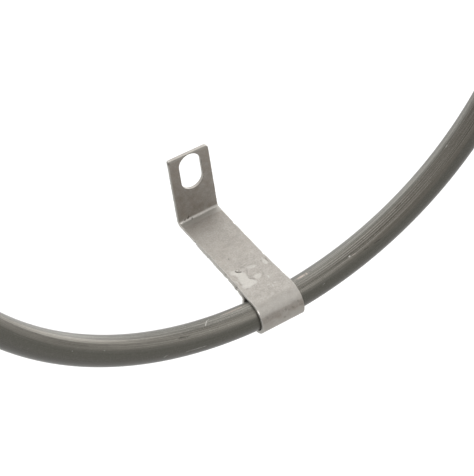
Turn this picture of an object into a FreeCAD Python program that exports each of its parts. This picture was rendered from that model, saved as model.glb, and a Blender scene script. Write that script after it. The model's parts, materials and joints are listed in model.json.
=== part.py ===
import FreeCAD, Part
import math
import os

import Sketcher

# Tubular heating element: a ring of metal-sheathed heating tube with a folded support bracket.
#
# Frame, in millimetres: X to the right, Z up, Y away from the room and into the wall.
# The plane Y = 0 is the wall: the rear faces of the mounting flange and of the bracket's tab lie on it.
# The origin is the centre of the flange's rear face, midway between the two legs of the tube.
# The ring stands in front of the wall, parallel to it, and hangs below the flange.

doc = FreeCAD.newDocument("TubularHeatingElement")

# ---------------------------------------------------------------- driving sizes

sheet = doc.addObject("Spreadsheet::Sheet", "Sizes")

SIZES = [
    ("ring_radius", 94.0, "centre of the ring to the tube's centreline"),
    ("wall_distance", 40.0, "ring plane to the wall"),
    ("bend_radius", 15.0, "centreline radius of the bend between ring and leg"),
    ("leg_spacing", 36.0, "between the centrelines of the two legs"),
    ("tail_length", 24.0, "sheath behind the wall"),
    ("sheath_diameter", 8.5, "outside of the tube"),
    ("sheath_wall", 0.8, "wall of the tube"),
    ("coil_diameter", 4.0, "outside of the heating coil"),
    ("wire_diameter", 0.5, "resistance wire"),
    ("pin_diameter", 3.0, "terminal pin inside the tube"),
    ("pin_inset", 20.0, "pin tip in front of the wall"),
    ("pin_grip", 6.0, "length of coil wound on the pin"),
    ("seal_depth", 3.0, "seal inside the open end of the tube"),
    ("bead_diameter", 7.6, "ceramic bead"),
    ("bead_length", 6.0, "ceramic bead"),
    ("stud_diameter", 4.0, "threaded outer part of the pin"),
    ("stud_length", 16.0, "threaded outer part of the pin"),
    ("stud_chamfer", 0.5, "end of the stud"),
    ("nut_flats", 7.0, "width across the flats"),
    ("nut_height", 3.2, "thickness of each nut"),
    ("nut_corner", 0.35, "height of the chamfer on a nut's corners"),
    ("nut_start", 1.0, "bead to the inner nut"),
    ("washer_bore", 4.3, "plain washer"),
    ("washer_diameter", 9.0, "plain washer"),
    ("washer_height", 0.8, "plain washer"),
    ("spring_bore", 4.2, "spring washer"),
    ("spring_diameter", 7.4, "spring washer"),
    ("spring_height", 0.9, "spring washer"),
    ("spring_slit", 0.7, "gap in the spring washer"),
    ("flange_length", 76.0, "mounting flange, along X"),
    ("flange_width", 24.0, "mounting flange, along Z"),
    ("flange_thickness", 2.0, "mounting flange"),
    ("screw_spacing", 58.0, "between the screw holes of the flange"),
    ("screw_bore", 4.8, "screw holes of the flange"),
    ("braze_leg", 1.4, "fillet between the leg and the flange"),
    ("strap_width", 12.8, "bracket strip"),
    ("strap_thickness", 1.0, "bracket strip"),
    ("strap_play", 0.03, "between the tube and the wrap"),
    ("leaf_play", 0.1, "between the inner leaf and the return leaf"),
    ("fold_radius", 0.5, "inside radius of the tight reverse bend"),
    ("tab_bend_radius", 0.8, "inside radius of the bend at the tab"),
    ("tab_height", 23.2, "tab above the outer face of the inner leaf"),
    ("tab_corner", 0.8, "radius of the tab's top corners"),
    ("return_reach", 30.5, "end of the return leaf, from the wrap's centre"),
    ("slot_width", 6.9, "slot in the tab"),
    ("slot_length", 12.3, "slot in the tab, end to end"),
    ("slot_middle", 21.8, "slot centre, from the wrap's centre"),
    ("weld_diameter", 4.6, "spot weld between the two leaves"),
    ("weld_reach", 9.0, "spot weld, from the wrap's centre"),
]

for row, (name, value, note) in enumerate(SIZES, start=1):
    sheet.set(f"A{row}", name)
    sheet.set(f"B{row}", str(value))
    sheet.set(f"C{row}", note)
    sheet.setAlias(f"B{row}", name)
doc.recompute()


def size(name):
    """The present value of one driving size."""
    return float(sheet.get(name))


# Expressions that several pieces share.
# A leg's centreline is leg_spacing / 2 from the middle and sqrt(ring_radius^2 + bend_radius^2)
# from the ring's centre, which gives the height of the ring's centre and the angle of the gap at its top.
REACH = "sqrt(Sizes.ring_radius ^ 2 + Sizes.bend_radius ^ 2)"
DROP = f"sqrt({REACH} ^ 2 - (Sizes.leg_spacing / 2) ^ 2)"
HALF_GAP = f"(asin(Sizes.leg_spacing / 2 / {REACH}) + atan(Sizes.bend_radius / Sizes.ring_radius))"
SHEATH_OUT = "Sizes.sheath_diameter / 2"
SHEATH_IN = "(Sizes.sheath_diameter / 2 - Sizes.sheath_wall)"
COIL_OUT = "Sizes.coil_diameter / 2"
COIL_IN = "(Sizes.coil_diameter / 2 - Sizes.wire_diameter)"
STUD_START = "(Sizes.tail_length + Sizes.bead_length)"

reach_now = math.hypot(size("ring_radius"), size("bend_radius"))
half_gap_now = math.degrees(
    math.asin(size("leg_spacing") / 2 / reach_now)
    + math.atan(size("bend_radius") / size("ring_radius"))
)
drop_now = math.sqrt(reach_now**2 - (size("leg_spacing") / 2) ** 2)

# Across the width of the straight strip the bent tube rises by this much on its inner side.
INNER = "(Sizes.ring_radius - Sizes.sheath_diameter / 2)"
RISE = f"({INNER} - sqrt({INNER} ^ 2 - (Sizes.strap_width / 2) ^ 2))"
inner_now = size("ring_radius") - size("sheath_diameter") / 2
rise_now = inner_now - math.sqrt(inner_now**2 - (size("strap_width") / 2) ** 2)

SIDES = (("left", -1), ("right", 1))
finished = []

# ---------------------------------------------------------------- helpers


def new_body(label):
    body = doc.addObject("PartDesign::Body", label)
    body.Label = label
    finished.append(body)
    return body


def place(body, x="0", y="0", z="0"):
    """Put a body in the frame, with each coordinate bound to the sheet."""
    for axis, formula in (("x", x), ("y", y), ("z", z)):
        body.setExpression(f"Placement.Base.{axis}", f"({formula}) * 1 mm")


def new_sketch(body, name, plane, offset=None, tilt=None):
    """A sketch on one of the body's own origin planes, moved along its normal or tilted about its own x."""
    sketch = body.newObject("Sketcher::SketchObject", name)
    support = [f for f in body.Origin.OriginFeatures if f.Role == plane][0]
    sketch.AttachmentSupport = [(support, "")]
    sketch.MapMode = "FlatFace"
    if tilt is not None:
        angle_now, formula = tilt
        turn = FreeCAD.Rotation(FreeCAD.Vector(1, 0, 0), angle_now)
        sketch.AttachmentOffset = FreeCAD.Placement(FreeCAD.Vector(), turn)
        sketch.setExpression("AttachmentOffset.Rotation.Angle", formula)
    if offset is not None:
        sketch.setExpression("AttachmentOffset.Base.z", f"({offset}) * 1 mm")
    return sketch


def bind(sketch, constraint, formula):
    """Add one dimension to a sketch and bind it to the sheet."""
    number = sketch.addConstraint(constraint)
    sketch.setExpression(f"Constraints[{number}]", f"({formula}) * 1 mm")
    return number


def circle_at(sketch, x, y, radius, formulas):
    """A circle whose centre and radius are bound to the sheet. A coordinate of "0" puts it on the axis."""
    across, up, around = formulas
    centre = FreeCAD.Vector(x, y, 0)
    shape = Part.Circle(centre, FreeCAD.Vector(0, 0, 1), radius)
    index = sketch.addGeometry(shape, False)
    if across == "0" and up == "0":
        sketch.addConstraint(Sketcher.Constraint("Coincident", index, 3, -1, 1))
    else:
        if across == "0":
            sketch.addConstraint(Sketcher.Constraint("PointOnObject", index, 3, -2))
        else:
            bind(sketch, Sketcher.Constraint("DistanceX", -1, 1, index, 3, x), across)
        if up == "0":
            sketch.addConstraint(Sketcher.Constraint("PointOnObject", index, 3, -1))
        else:
            bind(sketch, Sketcher.Constraint("DistanceY", -1, 1, index, 3, y), up)
    bind(sketch, Sketcher.Constraint("Radius", index, radius), around)
    return index


def polygon(sketch, corners):
    """A closed outline through corners given as (x, y, x formula, y formula)."""
    count = len(corners)
    lines = []
    for i, (x, y, _, _) in enumerate(corners):
        nx, ny = corners[(i + 1) % count][:2]
        edge = Part.LineSegment(FreeCAD.Vector(x, y, 0), FreeCAD.Vector(nx, ny, 0))
        lines.append(sketch.addGeometry(edge, False))
    for i in range(count):
        after = lines[(i + 1) % count]
        sketch.addConstraint(Sketcher.Constraint("Coincident", lines[i], 2, after, 1))
    for i, (x, y, across, up) in enumerate(corners):
        if across == "0":
            sketch.addConstraint(Sketcher.Constraint("PointOnObject", lines[i], 1, -2))
        else:
            bind(sketch, Sketcher.Constraint("DistanceX", -1, 1, lines[i], 1, x), across)
        if up == "0":
            sketch.addConstraint(Sketcher.Constraint("PointOnObject", lines[i], 1, -1))
        else:
            bind(sketch, Sketcher.Constraint("DistanceY", -1, 1, lines[i], 1, y), up)
    return lines


def pad(body, name, sketch, formula, reverse=False, symmetric=False):
    feature = body.newObject("PartDesign::Pad", name)
    feature.Profile = sketch
    feature.Reversed = reverse
    feature.SideType = "Symmetric" if symmetric else "One side"
    feature.setExpression("Length", f"({formula}) * 1 mm")
    return feature


def turn(body, name, kind, sketch, axis, angle=360.0, formula=None, middle=False, reverse=False):
    """A Revolution or a Groove about an axis of its sketch."""
    feature = body.newObject(f"PartDesign::{kind}", name)
    feature.Profile = sketch
    feature.ReferenceAxis = (sketch, [axis])
    feature.Angle = angle
    feature.Midplane = middle
    feature.Reversed = reverse
    if formula:
        feature.setExpression("Angle", formula)
    return feature


# ---------------------------------------------------------------- the tube's route


def tube_route(label, outer, inner, end_y):
    """One tube or rod along the element's route: the ring, two square bends and two straight legs.

    The body's own origin is the ring's centre, with the ring in its XZ plane.
    outer and inner are (value, formula) radii, inner being None for a solid rod.
    end_y is where the legs stop, measured from the wall.
    """
    radii = [outer] if inner is None else [outer, inner]
    body = new_body(label)
    place(body, y="-Sizes.wall_distance", z=f"-{DROP}")

    # The ring: the section at the lowest point, turned both ways about the ring's axis.
    section = new_sketch(body, f"{label}_ring_section", "YZ_Plane")
    for value, formula in radii:
        circle_at(section, 0, -size("ring_radius"), value, ("0", "-Sizes.ring_radius", formula))
    turn(
        body,
        f"{label}_ring",
        "Revolution",
        section,
        "H_Axis",
        360 - 2 * half_gap_now,
        f"360 deg - 2 * {HALF_GAP}",
        middle=True,
    )

    # The bend: the same section at the ring's end, turned 90 degrees away from the room.
    joint = new_sketch(body, f"{label}_bend_section", "YZ_Plane", tilt=(-half_gap_now, f"-{HALF_GAP}"))
    for value, formula in radii:
        circle_at(joint, 0, size("ring_radius"), value, ("0", "Sizes.ring_radius", formula))
    foot = FreeCAD.Vector(size("bend_radius"), 0, 0)
    head = FreeCAD.Vector(size("bend_radius"), size("ring_radius"), 0)
    hinge = joint.addGeometry(Part.LineSegment(foot, head), True)
    joint.addConstraint(Sketcher.Constraint("Vertical", hinge))
    joint.addConstraint(Sketcher.Constraint("PointOnObject", hinge, 1, -1))
    bind(joint, Sketcher.Constraint("DistanceX", -1, 1, hinge, 1, size("bend_radius")), "Sizes.bend_radius")
    bind(joint, Sketcher.Constraint("DistanceY", hinge, 1, hinge, 2, size("ring_radius")), "Sizes.ring_radius")
    bend = turn(body, f"{label}_bend", "Revolution", joint, "Axis0", 90.0)

    # The leg: straight on from the bend, through the wall.
    start = new_sketch(body, f"{label}_leg_section", "XZ_Plane", offset="-Sizes.bend_radius")
    for value, formula in radii:
        circle_at(
            start, size("leg_spacing") / 2, drop_now, value, ("Sizes.leg_spacing / 2", DROP, formula)
        )
    leg = pad(
        body,
        f"{label}_leg",
        start,
        f"{end_y} + Sizes.wall_distance - Sizes.bend_radius",
        reverse=True,
    )

    # The other bend and leg are the mirror image.
    mirror = body.newObject("PartDesign::Mirrored", f"{label}_mirror")
    mirror.Originals = [bend, leg]
    mirror.MirrorPlane = ([f for f in body.Origin.OriginFeatures if f.Role == "YZ_Plane"][0], [""])
    body.Tip = mirror
    return body


sheath_out = (size("sheath_diameter") / 2, SHEATH_OUT)
sheath_in = (size("sheath_diameter") / 2 - size("sheath_wall"), SHEATH_IN)
coil_out = (size("coil_diameter") / 2, COIL_OUT)
coil_in = (size("coil_diameter") / 2 - size("wire_diameter"), COIL_IN)

tube_route("sheath", sheath_out, sheath_in, "Sizes.tail_length")

# The coil is drawn as the thin tube that its turns fill. Its ends are wound on the pins.
coil = tube_route("resistance_coil", coil_out, coil_in, "Sizes.pin_grip - Sizes.pin_inset")

# ---------------------------------------------------------------- pins, seals and beads

pins = []
for side, sign in SIDES:
    leg_x = f"{sign} * Sizes.leg_spacing / 2"

    # Terminal pin: thin inside the tube, a threaded stud outside, turned as one piece.
    pin = new_body(f"terminal_pin_{side}")
    place(pin, x=leg_x)
    outline = new_sketch(pin, f"pin_{side}_outline", "XY_Plane")
    thin = size("pin_diameter") / 2
    thick = size("stud_diameter") / 2
    nose = size("stud_chamfer")
    tip = -size("pin_inset")
    step = size("tail_length") + size("bead_length")
    end = step + size("stud_length")
    polygon(
        outline,
        [
            (0, tip, "0", "-Sizes.pin_inset"),
            (thin, tip, "Sizes.pin_diameter / 2", "-Sizes.pin_inset"),
            (thin, step, "Sizes.pin_diameter / 2", STUD_START),
            (thick, step, "Sizes.stud_diameter / 2", STUD_START),
            (
                thick,
                end - nose,
                "Sizes.stud_diameter / 2",
                f"{STUD_START} + Sizes.stud_length - Sizes.stud_chamfer",
            ),
            (
                thick - nose,
                end,
                "Sizes.stud_diameter / 2 - Sizes.stud_chamfer",
                f"{STUD_START} + Sizes.stud_length",
            ),
            (0, end, "0", f"{STUD_START} + Sizes.stud_length"),
        ],
    )
    turn(pin, f"pin_{side}_body", "Revolution", outline, "V_Axis")
    pins.append(pin)

    # Seal: fills the open end of the tube round the pin.
    seal = new_body(f"end_seal_{side}")
    place(seal, x=leg_x, y="Sizes.tail_length")
    ring = new_sketch(seal, f"seal_{side}_section", "XZ_Plane")
    circle_at(ring, 0, 0, sheath_in[0], ("0", "0", SHEATH_IN))
    circle_at(ring, 0, 0, thin, ("0", "0", "Sizes.pin_diameter / 2"))
    pad(seal, f"seal_{side}_body", ring, "Sizes.seal_depth")

    # Bead: sits against the end of the tube and is held by the shoulder of the stud.
    bead = new_body(f"ceramic_bead_{side}")
    place(bead, x=leg_x, y="Sizes.tail_length")
    outline = new_sketch(bead, f"bead_{side}_outline", "XY_Plane")
    wide = size("bead_diameter") / 2
    long = size("bead_length")
    half_wide = "Sizes.bead_diameter / 2"
    bore = "Sizes.pin_diameter / 2"
    bevel = "Sizes.stud_chamfer"
    polygon(
        outline,
        [
            (thin, 0, bore, "0"),
            (wide, 0, half_wide, "0"),
            (wide, long - nose, half_wide, f"Sizes.bead_length - {bevel}"),
            (wide - nose, long, f"{half_wide} - {bevel}", "Sizes.bead_length"),
            (thin, long, bore, "Sizes.bead_length"),
        ],
    )
    turn(bead, f"bead_{side}_body", "Revolution", outline, "V_Axis")

# ---------------------------------------------------------------- magnesia filling

# The powder fills everything inside the tube that is not coil, pin or seal:
# a core inside the coil and a sleeve round it, in one packed mass.
bulk = tube_route("filling_bulk", sheath_in, None, "Sizes.tail_length - Sizes.seal_depth")
finished.remove(bulk)
inserts = doc.addObject("Part::MultiFuse", "filling_inserts")
inserts.Shapes = [coil] + pins
filling = doc.addObject("Part::Cut", "magnesia_filling")
filling.Label = "magnesia_filling"
filling.Base = bulk
filling.Tool = inserts
finished.append(filling)

# ---------------------------------------------------------------- flange and brazing

flange = new_body("mounting_flange")
plate = new_sketch(flange, "flange_outline", "XZ_Plane")
half_long = (size("flange_length") - size("flange_width")) / 2
end_radius = size("flange_width") / 2
arcs = []
for sign, start in ((1, -90), (-1, 90)):
    ring = Part.Circle(FreeCAD.Vector(sign * half_long, 0, 0), FreeCAD.Vector(0, 0, 1), end_radius)
    arc = Part.ArcOfCircle(ring, math.radians(start), math.radians(start + 180))
    arcs.append(plate.addGeometry(arc, False))
edges = []
for sign in (1, -1):
    near = FreeCAD.Vector(sign * half_long, sign * end_radius, 0)
    far = FreeCAD.Vector(-sign * half_long, sign * end_radius, 0)
    edges.append(plate.addGeometry(Part.LineSegment(near, far), False))
plate.addConstraint(Sketcher.Constraint("Tangent", arcs[0], 2, edges[0], 1))
plate.addConstraint(Sketcher.Constraint("Tangent", edges[0], 2, arcs[1], 1))
plate.addConstraint(Sketcher.Constraint("Tangent", arcs[1], 2, edges[1], 1))
plate.addConstraint(Sketcher.Constraint("Tangent", edges[1], 2, arcs[0], 1))
plate.addConstraint(Sketcher.Constraint("Symmetric", arcs[0], 3, arcs[1], 3, -1, 1))
plate.addConstraint(Sketcher.Constraint("PointOnObject", arcs[0], 3, -1))
bind(plate, Sketcher.Constraint("Radius", arcs[0], end_radius), "Sizes.flange_width / 2")
bind(
    plate,
    Sketcher.Constraint("DistanceX", -1, 1, arcs[0], 3, half_long),
    "(Sizes.flange_length - Sizes.flange_width) / 2",
)
pad(flange, "flange_plate", plate, "Sizes.flange_thickness")
doc.recompute()


def drill(body, name, spacing, radius, formula, depth):
    """Two holes through the plate, one each side of its middle."""
    sketch = new_sketch(body, f"{name}_circles", "XZ_Plane")
    for _, sign in SIDES:
        x = sign * size(spacing) / 2
        circle_at(sketch, x, 0, radius, (f"{sign} * Sizes.{spacing} / 2", "0", formula))
    pocket = body.newObject("PartDesign::Pocket", name)
    pocket.Profile = sketch
    pocket.Reversed = True
    pocket.setExpression("Length", f"{depth} * 1 mm")
    return pocket


drill(flange, "tube_holes", "leg_spacing", sheath_out[0], SHEATH_OUT, "Sizes.flange_thickness")
drill(flange, "screw_holes", "screw_spacing", size("screw_bore") / 2, "Sizes.screw_bore / 2",
      "Sizes.flange_thickness")

for side, sign in SIDES:
    # Braze: a fillet of filler metal round the leg, on the room side of the plate.
    braze = new_body(f"braze_ring_{side}")
    place(braze, x=f"{sign} * Sizes.leg_spacing / 2", y="-Sizes.flange_thickness")
    fillet = new_sketch(braze, f"braze_{side}_section", "XY_Plane")
    leg_r = sheath_out[0]
    foot = size("braze_leg")
    polygon(
        fillet,
        [
            (leg_r, 0, SHEATH_OUT, "0"),
            (leg_r + foot, 0, f"{SHEATH_OUT} + Sizes.braze_leg", "0"),
            (
                leg_r + 0.35 * foot,
                -0.35 * foot,
                f"{SHEATH_OUT} + 0.35 * Sizes.braze_leg",
                "-0.35 * Sizes.braze_leg",
            ),
            (leg_r, -foot, SHEATH_OUT, "-Sizes.braze_leg"),
        ],
    )
    turn(braze, f"braze_{side}_body", "Revolution", fillet, "V_Axis")

# ---------------------------------------------------------------- support bracket

# The strip is one piece. From the wall it runs: slotted tab, square bend, straight inner leaf,
# round the far side of the tube, a tight reverse bend, and back as a leaf beneath the inner one.
# Its body's own origin is the centre of the wrap at the ring's lowest point, which lies half of the
# tube's rise above the tube's centre, so that the straight strip clears the bent tube on both sides.
bracket = new_body("support_bracket")
place(bracket, y="-Sizes.wall_distance", z=f"-{DROP} - Sizes.ring_radius + {RISE} / 2")

thickness = size("strap_thickness")
wrap_in = size("sheath_diameter") / 2 + rise_now / 2 + size("strap_play")
wrap_out = wrap_in + thickness
wall = size("wall_distance")
top = wrap_out + size("tab_height")
fold = size("fold_radius")
fold_z = wrap_in - size("leaf_play") - thickness - fold
fold_y = math.sqrt((wrap_out + fold) ** 2 - fold_z**2)
fold_angle = math.degrees(math.atan2(fold_z, fold_y))
bend = size("tab_bend_radius")
bend_y = wall - thickness - bend
bend_z = wrap_out + bend
leaf_end = size("return_reach")

strip = new_sketch(bracket, "strip_profile", "YZ_Plane")


def arc(y, z, radius, first, last):
    ring = Part.Circle(FreeCAD.Vector(y, z, 0), FreeCAD.Vector(0, 0, 1), radius)
    return strip.addGeometry(Part.ArcOfCircle(ring, math.radians(first), math.radians(last)), False)


def line(y1, z1, y2, z2):
    edge = Part.LineSegment(FreeCAD.Vector(y1, z1, 0), FreeCAD.Vector(y2, z2, 0))
    return strip.addGeometry(edge, False)


wrap_inside = arc(0, 0, wrap_in, 90, 360 + fold_angle)
wrap_outside = arc(0, 0, wrap_out, 90, 360 + fold_angle)
fold_outside = arc(fold_y, fold_z, fold + thickness, 90, 180 + fold_angle)
fold_inside = arc(fold_y, fold_z, fold, 90, 180 + fold_angle)
bend_outside = arc(bend_y, bend_z, bend + thickness, 270, 360)
bend_inside = arc(bend_y, bend_z, bend, 270, 360)
tab_top = line(wall - thickness, top, wall, top)
tab_rear = line(wall, top, wall, bend_z)
inner_leaf_under = line(bend_y, wrap_in, 0, wrap_in)
return_top = line(fold_y, fold_z + fold + thickness, leaf_end, fold_z + fold + thickness)
return_end = line(leaf_end, fold_z + fold + thickness, leaf_end, fold_z + fold)
return_under = line(leaf_end, fold_z + fold, fold_y, fold_z + fold)
inner_leaf_top = line(0, wrap_out, bend_y, wrap_out)
tab_front = line(wall - thickness, bend_z, wall - thickness, top)

# In a sketch's constraints, point 1 is where an edge starts, 2 is where it ends and 3 is its centre.
for a, a_end, b, b_end in (
    (tab_rear, 2, bend_outside, 2),
    (bend_outside, 1, inner_leaf_under, 1),
    (inner_leaf_under, 2, wrap_inside, 1),
    (wrap_inside, 2, fold_outside, 2),
    (fold_outside, 1, return_top, 1),
    (return_under, 2, fold_inside, 1),
    (fold_inside, 2, wrap_outside, 2),
    (wrap_outside, 1, inner_leaf_top, 1),
    (inner_leaf_top, 2, bend_inside, 1),
    (bend_inside, 2, tab_front, 1),
):
    strip.addConstraint(Sketcher.Constraint("Tangent", a, a_end, b, b_end))
for a, a_end, b, b_end in (
    (tab_top, 2, tab_rear, 1),
    (return_top, 2, return_end, 1),
    (return_end, 2, return_under, 1),
    (tab_front, 2, tab_top, 1),
    (wrap_inside, 3, -1, 1),
    (wrap_outside, 3, -1, 1),
    (fold_outside, 3, fold_inside, 3),
    (bend_outside, 3, bend_inside, 3),
):
    strip.addConstraint(Sketcher.Constraint("Coincident", a, a_end, b, b_end))
for edge in (tab_top, inner_leaf_under, return_top, return_under, inner_leaf_top):
    strip.addConstraint(Sketcher.Constraint("Horizontal", edge))
for edge in (tab_rear, return_end, tab_front):
    strip.addConstraint(Sketcher.Constraint("Vertical", edge))

WRAP_IN = f"Sizes.sheath_diameter / 2 + {RISE} / 2 + Sizes.strap_play"
WRAP_OUT = f"{WRAP_IN} + Sizes.strap_thickness"
bind(strip, Sketcher.Constraint("Radius", wrap_inside, wrap_in), WRAP_IN)
bind(strip, Sketcher.Constraint("Radius", wrap_outside, wrap_out), WRAP_OUT)
bind(strip, Sketcher.Constraint("Radius", fold_inside, fold), "Sizes.fold_radius")
bind(strip, Sketcher.Constraint("Radius", bend_inside, bend), "Sizes.tab_bend_radius")
bind(
    strip,
    Sketcher.Constraint("DistanceX", -1, 1, tab_rear, 1, wall),
    "Sizes.wall_distance",
)
bind(
    strip,
    Sketcher.Constraint("DistanceX", -1, 1, return_end, 1, leaf_end),
    "Sizes.return_reach",
)
bind(
    strip,
    Sketcher.Constraint("DistanceY", -1, 1, tab_rear, 1, top),
    f"{WRAP_OUT} + Sizes.tab_height",
)
bind(
    strip,
    Sketcher.Constraint("DistanceY", -1, 1, return_top, 1, wrap_in - size("leaf_play")),
    f"{WRAP_IN} - Sizes.leaf_play",
)
pad(bracket, "folded_strip", strip, "Sizes.strap_width", symmetric=True)

# The spot weld closes the hairline between the two leaves over a small disc.
nugget = new_sketch(
    bracket, "weld_circle", "XY_Plane", offset=f"{WRAP_IN} - Sizes.leaf_play"
)
circle_at(
    nugget,
    0,
    size("weld_reach"),
    size("weld_diameter") / 2,
    ("0", "Sizes.weld_reach", "Sizes.weld_diameter / 2"),
)
pad(bracket, "spot_weld", nugget, "Sizes.leaf_play")

# The slot lets the ring grow and be lined up on its screw. It has fully rounded ends.
slot = new_sketch(bracket, "slot_outline", "XZ_Plane")
slot_r = size("slot_width") / 2
slot_half = size("slot_length") / 2 - slot_r
slot_z = size("slot_middle")
slot_ends = []
for sign, first in ((1, 0), (-1, 180)):
    ring = Part.Circle(FreeCAD.Vector(0, slot_z + sign * slot_half, 0), FreeCAD.Vector(0, 0, 1), slot_r)
    half = Part.ArcOfCircle(ring, math.radians(first), math.radians(first + 180))
    slot_ends.append(slot.addGeometry(half, False))
slot_sides = []
for sign in (-1, 1):
    one = FreeCAD.Vector(sign * slot_r, slot_z - sign * slot_half, 0)
    other = FreeCAD.Vector(sign * slot_r, slot_z + sign * slot_half, 0)
    slot_sides.append(slot.addGeometry(Part.LineSegment(one, other), False))
slot.addConstraint(Sketcher.Constraint("Tangent", slot_ends[0], 2, slot_sides[0], 1))
slot.addConstraint(Sketcher.Constraint("Tangent", slot_sides[0], 2, slot_ends[1], 1))
slot.addConstraint(Sketcher.Constraint("Tangent", slot_ends[1], 2, slot_sides[1], 1))
slot.addConstraint(Sketcher.Constraint("Tangent", slot_sides[1], 2, slot_ends[0], 1))
slot.addConstraint(Sketcher.Constraint("PointOnObject", slot_ends[0], 3, -2))
slot.addConstraint(Sketcher.Constraint("PointOnObject", slot_ends[1], 3, -2))
bind(slot, Sketcher.Constraint("Radius", slot_ends[0], slot_r), "Sizes.slot_width / 2")
half_slot = "(Sizes.slot_length - Sizes.slot_width) / 2"
bind(
    slot,
    Sketcher.Constraint("DistanceY", -1, 1, slot_ends[0], 3, slot_z + slot_half),
    f"Sizes.slot_middle + {half_slot}",
)
bind(
    slot,
    Sketcher.Constraint("DistanceY", -1, 1, slot_ends[1], 3, slot_z - slot_half),
    f"Sizes.slot_middle - {half_slot}",
)
doc.recompute()
before_slot = bracket.Shape.Volume
opening = bracket.newObject("PartDesign::Pocket", "tab_slot")
opening.Profile = slot
opening.Type = "ThroughAll"
doc.recompute()
print("slot removes", round(before_slot - bracket.Shape.Volume, 2), "mm3")

# The two top corners of the tab are rounded: the short edges there that run through the strip.
corners = []
for number, edge in enumerate(opening.Shape.Edges, start=1):
    box = edge.BoundBox
    runs_through = box.YLength > 0.9 * thickness and box.XLength < 0.01 and box.ZLength < 0.01
    if runs_through and box.ZMin > top - 0.01 and abs(box.XMin) > size("strap_width") / 2 - 0.01:
        corners.append(f"Edge{number}")
print("tab corners found", len(corners))
rounding = bracket.newObject("PartDesign::Fillet", "tab_corners")
rounding.Base = (opening, corners)
rounding.setExpression("Radius", "Sizes.tab_corner * 1 mm")

# ---------------------------------------------------------------- terminal hardware


def make_nut(label, x, y):
    """A hexagon nut on a stud along Y, with its corners turned off at both faces."""
    body = new_body(label)
    place(body, x=x, y=y)
    flats = new_sketch(body, f"{label}_hexagon", "XZ_Plane")
    corner = size("nut_flats") / math.sqrt(3)
    points = []
    for i in range(6):
        angle = math.radians(60 * i)
        points.append((corner * math.cos(angle), corner * math.sin(angle)))
    sides = []
    for i in range(6):
        first = FreeCAD.Vector(points[i][0], points[i][1], 0)
        second = FreeCAD.Vector(points[(i + 1) % 6][0], points[(i + 1) % 6][1], 0)
        sides.append(flats.addGeometry(Part.LineSegment(first, second), False))
    guide = Part.Circle(FreeCAD.Vector(), FreeCAD.Vector(0, 0, 1), corner)
    guide = flats.addGeometry(guide, True)
    for i in range(6):
        flats.addConstraint(Sketcher.Constraint("Coincident", sides[i], 2, sides[(i + 1) % 6], 1))
        flats.addConstraint(Sketcher.Constraint("PointOnObject", sides[i], 1, guide))
    for i in range(5):
        flats.addConstraint(Sketcher.Constraint("Equal", sides[i], sides[i + 1]))
    flats.addConstraint(Sketcher.Constraint("Coincident", guide, 3, -1, 1))
    flats.addConstraint(Sketcher.Constraint("PointOnObject", sides[0], 1, -1))
    bind(flats, Sketcher.Constraint("Radius", guide, corner), "Sizes.nut_flats / sqrt(3)")
    circle_at(flats, 0, 0, size("stud_diameter") / 2, ("0", "0", "Sizes.stud_diameter / 2"))
    pad(body, f"{label}_blank", flats, "Sizes.nut_height", reverse=True)
    doc.recompute()
    shaving = new_sketch(body, f"{label}_corner_cut", "XY_Plane")
    flat = size("nut_flats") / 2
    beyond = size("nut_flats") * 0.62
    cut = size("nut_corner")
    tall = size("nut_height")
    half_flat = "Sizes.nut_flats / 2"
    far = "Sizes.nut_flats * 0.62"
    polygon(
        shaving,
        [
            (flat, 0, half_flat, "0"),
            (beyond, 0, far, "0"),
            (beyond, cut, far, "Sizes.nut_corner"),
        ],
    )
    polygon(
        shaving,
        [
            (flat, tall, half_flat, "Sizes.nut_height"),
            (beyond, tall - cut, far, "Sizes.nut_height - Sizes.nut_corner"),
            (beyond, tall, far, "Sizes.nut_height"),
        ],
    )
    turn(body, f"{label}_corners", "Groove", shaving, "V_Axis")
    return body


def make_washer(label, x, y, bore, outside, height, slit=None):
    """A washer on a stud along Y, cut through at the top when slit names a gap."""
    body = new_body(label)
    place(body, x=x, y=y)
    ring = new_sketch(body, f"{label}_ring", "XZ_Plane")
    for name in (bore, outside):
        circle_at(ring, 0, 0, size(name) / 2, ("0", "0", f"Sizes.{name} / 2"))
    pad(body, f"{label}_blank", ring, f"Sizes.{height}", reverse=True)
    if slit:
        doc.recompute()
        gap = new_sketch(body, f"{label}_gap", "XZ_Plane")
        half = size(slit) / 2
        far = size(outside) * 0.6
        left, right = f"-Sizes.{slit} / 2", f"Sizes.{slit} / 2"
        reach = f"Sizes.{outside} * 0.6"
        polygon(
            gap,
            [
                (-half, 0, left, "0"),
                (half, 0, right, "0"),
                (half, far, right, reach),
                (-half, far, left, reach),
            ],
        )
        cut = body.newObject("PartDesign::Pocket", f"{label}_slit")
        cut.Profile = gap
        cut.Type = "ThroughAll"
    return body


for side, sign in SIDES:
    leg_x = f"{sign} * Sizes.leg_spacing / 2"
    y = f"{STUD_START} + Sizes.nut_start"
    make_nut(f"inner_nut_{side}", leg_x, y)
    y += " + Sizes.nut_height"
    make_washer(f"plain_washer_{side}", leg_x, y, "washer_bore", "washer_diameter", "washer_height")
    y += " + Sizes.washer_height"
    make_washer(
        f"spring_washer_{side}", leg_x, y, "spring_bore", "spring_diameter", "spring_height", "spring_slit"
    )
    y += " + Sizes.spring_height"
    make_nut(f"outer_nut_{side}", leg_x, y)

# ---------------------------------------------------------------- check and write

doc.recompute()
problems = []
for item in doc.Objects:
    if "Invalid" in item.State or "Error" in item.State:
        problems.append(f"{item.Label}: {item.State}")
for piece in finished:
    if piece.Shape.isNull() or not piece.Shape.isValid() or not piece.Shape.Solids:
        problems.append(f"{piece.Label}: no valid solid")
if problems:
    raise RuntimeError("; ".join(problems))

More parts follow.
